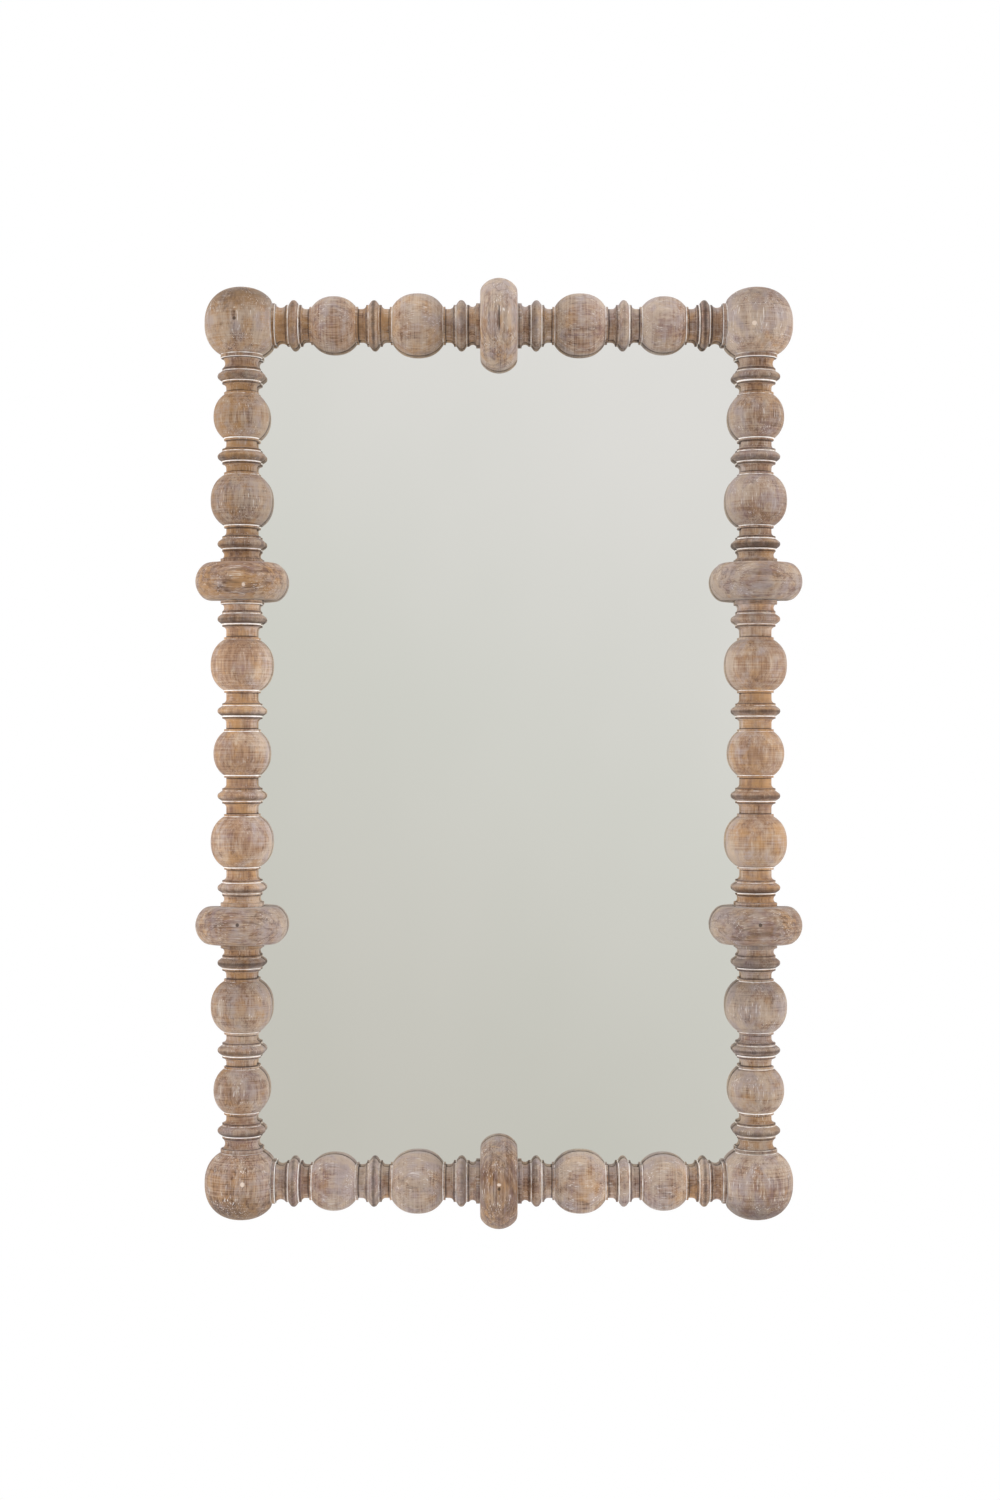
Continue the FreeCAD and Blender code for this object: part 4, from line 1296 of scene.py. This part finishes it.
    def disc(self, node: str, heading: Heading) -> None:
        """Turn one disc: flat faces, rounded shoulders and a slightly crowned rim.

        The crown is the arc that touches both shoulder arcs and the disc's full radius.

        Args:
            node: The CAD node that it stands for.
            heading: The way its axis runs.
        """
        size, foot = self.sizes, self.wear.disc_foot
        inset, fall = size.disc_half - size.shoulder, size.rim_depth
        crown = (inset**2 + fall**2 - size.shoulder**2) / (fall - size.shoulder) / 2
        join = crown / (crown - size.shoulder)
        across, up = inset * join, size.disc - crown + (crown - fall) * join
        outline = Outline(-size.disc_half, 0).line(0, size.disc - fall)
        outline.bow(size.disc_half - across, up, size.shoulder).bow(2 * across, up, crown)
        outline.bow(size.disc_half - across, size.disc - fall, size.shoulder).line(0, 0)
        stock = outline.finished(self.round_points)
        grid = self.turned(stock, self.disc_steps)
        # Painted shade where the collar seats on the disc.
        shade_and_grime = foot.strength * np.exp(-(((stock.radius - size.collar) / foot.width) ** 2))
        marks = (stock.paste[:, None], shade_and_grime[:, None])
        self.finish_piece(node, grid, self.middle(node), heading, marks, grid[..., [2, 0, 1]])

    def corner_ball(self, node: str, centre: Spot, heading: Heading) -> None:
        """Turn one corner ball about its stile's axis and plane the second seat, for its rail.

        The second seat is a smooth clamp of the points towards the rail: where they would pass
        the seat they stay on it, with the edge eased over about a millimetre.

        Args:
            node: The CAD node that it stands for.
            centre: Its middle, across and up.
            heading: The way of its stile.
        """
        size, wear, line = self.sizes, self.wear, self.wear.rail_seat_line
        ball, seat, ease = size.corner_ball, size.corner_seat, size.seat_ease
        outline = Outline(-ball.radius, 0).crest(ball.radius, ball.radius, ball.fullness)
        outline.crest(seat, size.collar, ball.fullness).quirk(*wear.seat_line)
        stock = outline.line(0, 0).finished(self.round_points)
        grid = self.turned(stock, self.ball_steps)
        side = -heading.rise * (-1 if centre[0] > 0 else 1)
        towards = side * grid[..., 2]
        held = towards - ease * np.logaddexp(0, (towards - seat) / ease)
        grid = np.concatenate((grid[..., :2], (side * held)[..., None]), axis=-1)
        reach = np.hypot(grid[..., 0], grid[..., 1])
        rim = line.strength * np.exp(-(((reach - size.collar) / line.width) ** 2))
        rim = rim * (towards > seat - wear.rail_seat_depth)
        marks = (np.maximum(stock.paste[:, None], rim), np.zeros_like(rim))
        self.finish_piece(node, grid, centre, heading, marks)
        if ball.screwed:
            self.screw_places.append(centre)

    def build(self) -> None:
        """Turn every piece of the frame."""
        short, long = Length.CORNER_TO_DISC, Length.DISC_TO_DISC
        ends = {"top": (self.top, Heading.DOWN), "bottom": (self.bottom, Heading.UP)}
        sides = {"left": (self.left, Heading.RIGHT), "right": (self.right, Heading.LEFT)}
        middles = {"left": (self.upper, Heading.DOWN), "right": (self.lower, Heading.UP)}
        for end, (up, _) in ends.items():
            for side, (across, inwards) in sides.items():
                self.spindle(f"spindle_{end}_{side}", short, (across, up), inwards)
        for side, (across, _) in sides.items():
            starts = {"upper": ends["top"], "middle": middles[side], "lower": ends["bottom"]}
            for part, (up, heading) in starts.items():
                length = long if part == "middle" else short
                self.spindle(f"spindle_{side}_{part}", length, (across, up), heading)
        for end in ends:
            self.disc(f"disc_{end}", Heading.RIGHT)
        for side in sides:
            for level in ("upper", "lower"):
                self.disc(f"disc_{side}_{level}", Heading.DOWN)
        for side, (across, _) in sides.items():
            for end, (up, heading) in ends.items():
                self.corner_ball(f"corner_ball_{end}_{side}", (across, up), heading)


@dataclass
class Glazing:
    """The glass and what holds it: strips behind the turnings, foam tape and the back panel."""

    def build(self) -> None:
        """Dress the flat pieces, whose shapes are right as they are."""
        dress("mirror_glass", SilveredGlass())
        dress("glass_tape", Foam())
        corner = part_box("back_panel")[1]
        dress("back_panel", FibreBoard(half=(corner.x, corner.z)))
        for side in ("top", "bottom"):
            dress(f"spacer_strip_{side}", RawPine())
        for side in ("left", "right"):
            dress(f"spacer_strip_{side}", UprightPine())


@dataclass(frozen=True)
class Screw:
    """One kind of screw, in millimetres, with its head's outer edge at height 0."""

    head: float
    shank: float
    length: float
    point: float
    sunk: float = 0.0
    dome: float = 0.0
    recess: float = 2.1
    arm: float = 0.55
    depth: float = 0.9
    pitch: float = 1.5
    thread: float = 0.35
    recess_wall: float = 0.3
    arm_wall: float = 0.2
    ridge_slope: float = 2.4
    bare: float = 1.0
    tip_radius_share: float = 0.6
    tip_length_share: float = 0.4
    head_rows: int = 22
    shank_rows: int = 64
    columns: int = 36

    def outline(self) -> tuple[np.ndarray, np.ndarray]:
        """Give the half outline as radii and heights, from the middle of the head to the point."""
        face = np.linspace(0, self.head, self.head_rows)
        bend = (self.head**2 + self.dome**2) / self.dome / 2 if self.dome else 0
        crown = np.sqrt(bend**2 - face**2) - bend + self.dome if self.dome else 0 * face
        core = np.linspace(-self.sunk, self.point - self.length, self.shank_rows)
        tip = self.tip_length_share * self.point - self.length
        shank = np.full(core.size, self.shank)
        radius = np.concatenate((face, shank, (self.tip_radius_share * self.shank, 0)))
        return radius, np.concatenate((crown, core, (tip, -self.length)))

    def grid(self, turn: float) -> np.ndarray:
        """Shape the screw along Y: its head up, a cross sunk into it, and a thread on its shank.

        The cross is two arms at right angles, each cut where a point lies within the arm's width
        and the recess's length. The thread is a ridge that climbs by one pitch in each turn: its
        phase is the height over the pitch plus the share of the turn.

        Args:
            turn: The angle of the cross.

        Returns:
            Points in millimetres, in rows from the head to the point and columns round the axis.
        """
        radius, height = (row[:, None] for row in self.outline())
        angle = np.linspace(0, 2 * np.pi, self.columns, endpoint=False)[None, :]
        across = np.abs(radius * np.cos(angle - turn))
        beside = np.abs(radius * np.sin(angle - turn))
        reach, width = np.maximum(across, beside), np.minimum(across, beside)
        cut = np.clip((self.recess - reach) / self.recess_wall, 0, 1)
        cut = cut * np.clip((self.arm - width) / self.arm_wall + 0.5, 0, 1)
        phase = (height / self.pitch + angle / (2 * np.pi)) % 1
        ridge = np.clip(1 - self.ridge_slope * np.abs(phase - 0.5), 0, 1)
        threaded = (height < -self.sunk - self.bare) & (radius > 0)
        radius = radius - threaded * self.thread * (1 - ridge)
        height = height - self.depth * cut * (height > -TOUCH)
        return np.stack((radius * np.cos(angle), height, -radius * np.sin(angle)), axis=-1)


@dataclass
class Fixings:
    """Screws that hold the frame together, and the hangers with their rings and screws."""

    long_screw: Screw = Screw(head=4.0, shank=2.0, length=40.0, point=4.0, sunk=2.0)
    short_screw: Screw = Screw(
        head=3.3, shank=1.75, length=7.0, point=2.2, dome=2.0, recess=1.5, arm=0.5, depth=0.7
    )
    sink: float = 0.2
    hanger_across: float = 190.0
    hanger_rows: Spot = (227.0, 218.0)
    hanger_seat: float = 3.9

    def screws(self, node: str, kind: Screw, places: list[Spot], level: float) -> None:
        """Cut a set of screws and drive them in from behind.

        Args:
            node: The CAD node that they stand for.
            kind: The kind of screw.
            places: Where they go, across and up.
            level: Depth of the head's edge.
        """
        turns = np.random.default_rng(len(places)).uniform(0, np.pi, len(places))
        grids = np.stack([kind.grid(turn) for turn in turns])
        spots = np.array([(across, level, up) for across, up in places])
        piece = grid_object(f"{node}_cut", (grids + spots[:, None, None]) * MM, {})
        settle(piece, YellowScrew(), node)

    def build(self, screw_places: list[Spot]) -> None:
        """Drive the screws and dress the hangers.

        Args:
            screw_places: Where the frame screws go, across and up, in millimetres.
        """
        self.screws("frame_screws", self.long_screw, screw_places, -self.sink)
        places = [(side * self.hanger_across, row) for side in (-1, 1) for row in self.hanger_rows]
        self.screws("hanger_screws", self.short_screw, places, -self.hanger_seat)
        for side in ("left", "right"):
            dress(f"hanger_strap_{side}", PlatedSteel())
            dress(f"hanger_ring_{side}", PlatedSteel())


@dataclass(frozen=True)
class Lamp:
    """A soft square lamp: its place and size in metres, and its power in watts."""

    name: str
    place: Triple
    size: float
    power: float

    def build(self) -> None:
        """Hang the lamp so that it looks at the object and isn't seen in its mirror."""
        light = bpy.data.lights.new(self.name, "AREA")
        light.size, light.energy = self.size, self.power
        lamp = bpy.data.objects.new(self.name, light)
        lamp.location = self.place
        lamp.rotation_mode = "QUATERNION"
        lamp.rotation_quaternion = (-Vector(self.place)).to_track_quat("-Z", "Y")
        lamp.visible_glossy = False
        bpy.context.scene.collection.objects.link(lamp)


@dataclass
class Studio:
    """A pale studio: floor, soft lamps, a wall of grey light before the mirror, and a camera."""

    floor_level: float = -1.35
    floor_half: float = 3.0
    floor_grey: float = 0.8
    camera_distance: float = 2.8
    camera_across: float = 0.0012
    camera_up: float = 0.0037
    frame_height: float = 1.6076
    sensor: float = 36.0
    lamps: tuple[Lamp, ...] = (
        Lamp("left_lamp", (-4.2, -1.45, 0.5), 1.6, 134),
        Lamp("right_lamp", (4.2, -1.45, 0.5), 1.6, 134),
        Lamp("top_lamp", (0.2, -1.05, 3.2), 1.8, 52),
        Lamp("floor_lamp", (0, -0.5, -1.3), 1.0, 4.5),
    )
    greys: tuple[tuple[float, Colour], ...] = (
        (0.0, (198, 195, 188)),
        (0.5, (216, 215, 211)),
        (1.0, (234, 231, 232)),
    )
    grey_slant: float = 0.56
    grey_lift: Ease = Ease(-0.30, 0.30)
    dim: float = 0.08
    tent: Spot = (0.66, 0.5)
    tent_fades: Ease = Ease(0.1, 0.6)
    dim_fades: Ease = Ease(-0.30, -0.92)

    def build(self, axis_depth: float) -> None:
        """Set up the studio.

        Args:
            axis_depth: Depth of the turnings' axes, in metres, from which the camera stands off.
        """
        self.world()
        self.floor()
        for lamp in self.lamps:
            lamp.build()
        self.camera(axis_depth)
        bpy.context.scene.view_settings.view_transform = "Standard"

    def world(self) -> None:
        """Light the scene as a white tent does that is dim behind the camera, seen as white.

        The grey seen by reflection grows lighter upwards and to the right, as the studio does.
        """
        world = bpy.data.worlds.new("studio_world")
        bpy.context.scene.world = world
        world.use_nodes = True
        graph = Graph(world.node_tree)
        aim = graph.node("TexCoord", {}).outputs["Generated"]
        way = graph.node("SeparateXYZ", {0: aim}).outputs
        path = graph.node("LightPath", {}).outputs
        lift = graph.blend_of((way["Z"], 1.0), (way["X"], self.grey_slant))
        grey = graph.ramp(graph.ease(lift, self.grey_lift), *self.greys)
        behind = graph.mix(path["Is Glossy Ray"], plain(self.dim), grey)
        sides, wall = (plain(level) for level in self.tent)
        tent = graph.mix(graph.ease(way["Y"], self.tent_fades), sides, wall)
        lit = graph.mix(graph.ease(way["Y"], self.dim_fades), tent, behind)
        shown = graph.mix(path["Is Camera Ray"], lit, plain(1))
        sky = graph.node("Background", {"Color": shown})
        graph.node("OutputWorld", {"Surface": sky.outputs["Background"]})

    def floor(self) -> None:
        """Lay a pale floor well below, as under a mirror that hangs on a wall."""
        half = self.floor_half
        corners = ((-half, -half), (half, -half), (half, half), (-half, half))
        mesh = bpy.data.meshes.new("floor")
        mesh.from_pydata([(*corner, self.floor_level) for corner in corners], [], [(0, 1, 2, 3)])
        floor = bpy.data.objects.new("floor", mesh)
        bpy.context.scene.collection.objects.link(floor)
        material = bpy.data.materials.new("pale_floor")
        material.use_nodes = True
        graph = Graph(material.node_tree)
        seen = graph.node("LightPath", {}).outputs["Is Camera Ray"]
        matt = graph.node("BsdfDiffuse", {"Color": plain(self.floor_grey)}).outputs[0]
        white = graph.node("Emission", {}).outputs[0]
        pick = graph.node("MixShader", {"Fac": seen, 1: matt, 2: white})
        graph.node("OutputMaterial", {"Surface": pick.outputs[0]})
        mesh.materials.append(material)
        floor.visible_glossy = False

    def camera(self, axis_depth: float) -> None:
        """Stand the camera straight in front, at the height of the object's middle."""
        data = bpy.data.cameras.new("camera")
        data.sensor_width = self.sensor
        data.lens = self.sensor * self.camera_distance / self.frame_height
        camera = bpy.data.objects.new("camera", data)
        depth = axis_depth - self.camera_distance
        camera.location = (self.camera_across, depth, self.camera_up)
        camera.rotation_euler = (math.pi / 2, 0, 0)
        bpy.context.scene.collection.objects.link(camera)
        bpy.context.scene.camera = camera


def main() -> None:
    """Build the pieces in order and set up the studio."""
    logging.basicConfig(level=logging.INFO, format="%(message)s")
    turned = TurnedFrame()
    turned.build()
    Glazing().build()
    Fixings().build(turned.screw_places)
    Studio().build(turned.axis_depth * MM)


if __name__ == "__main__":
    main()
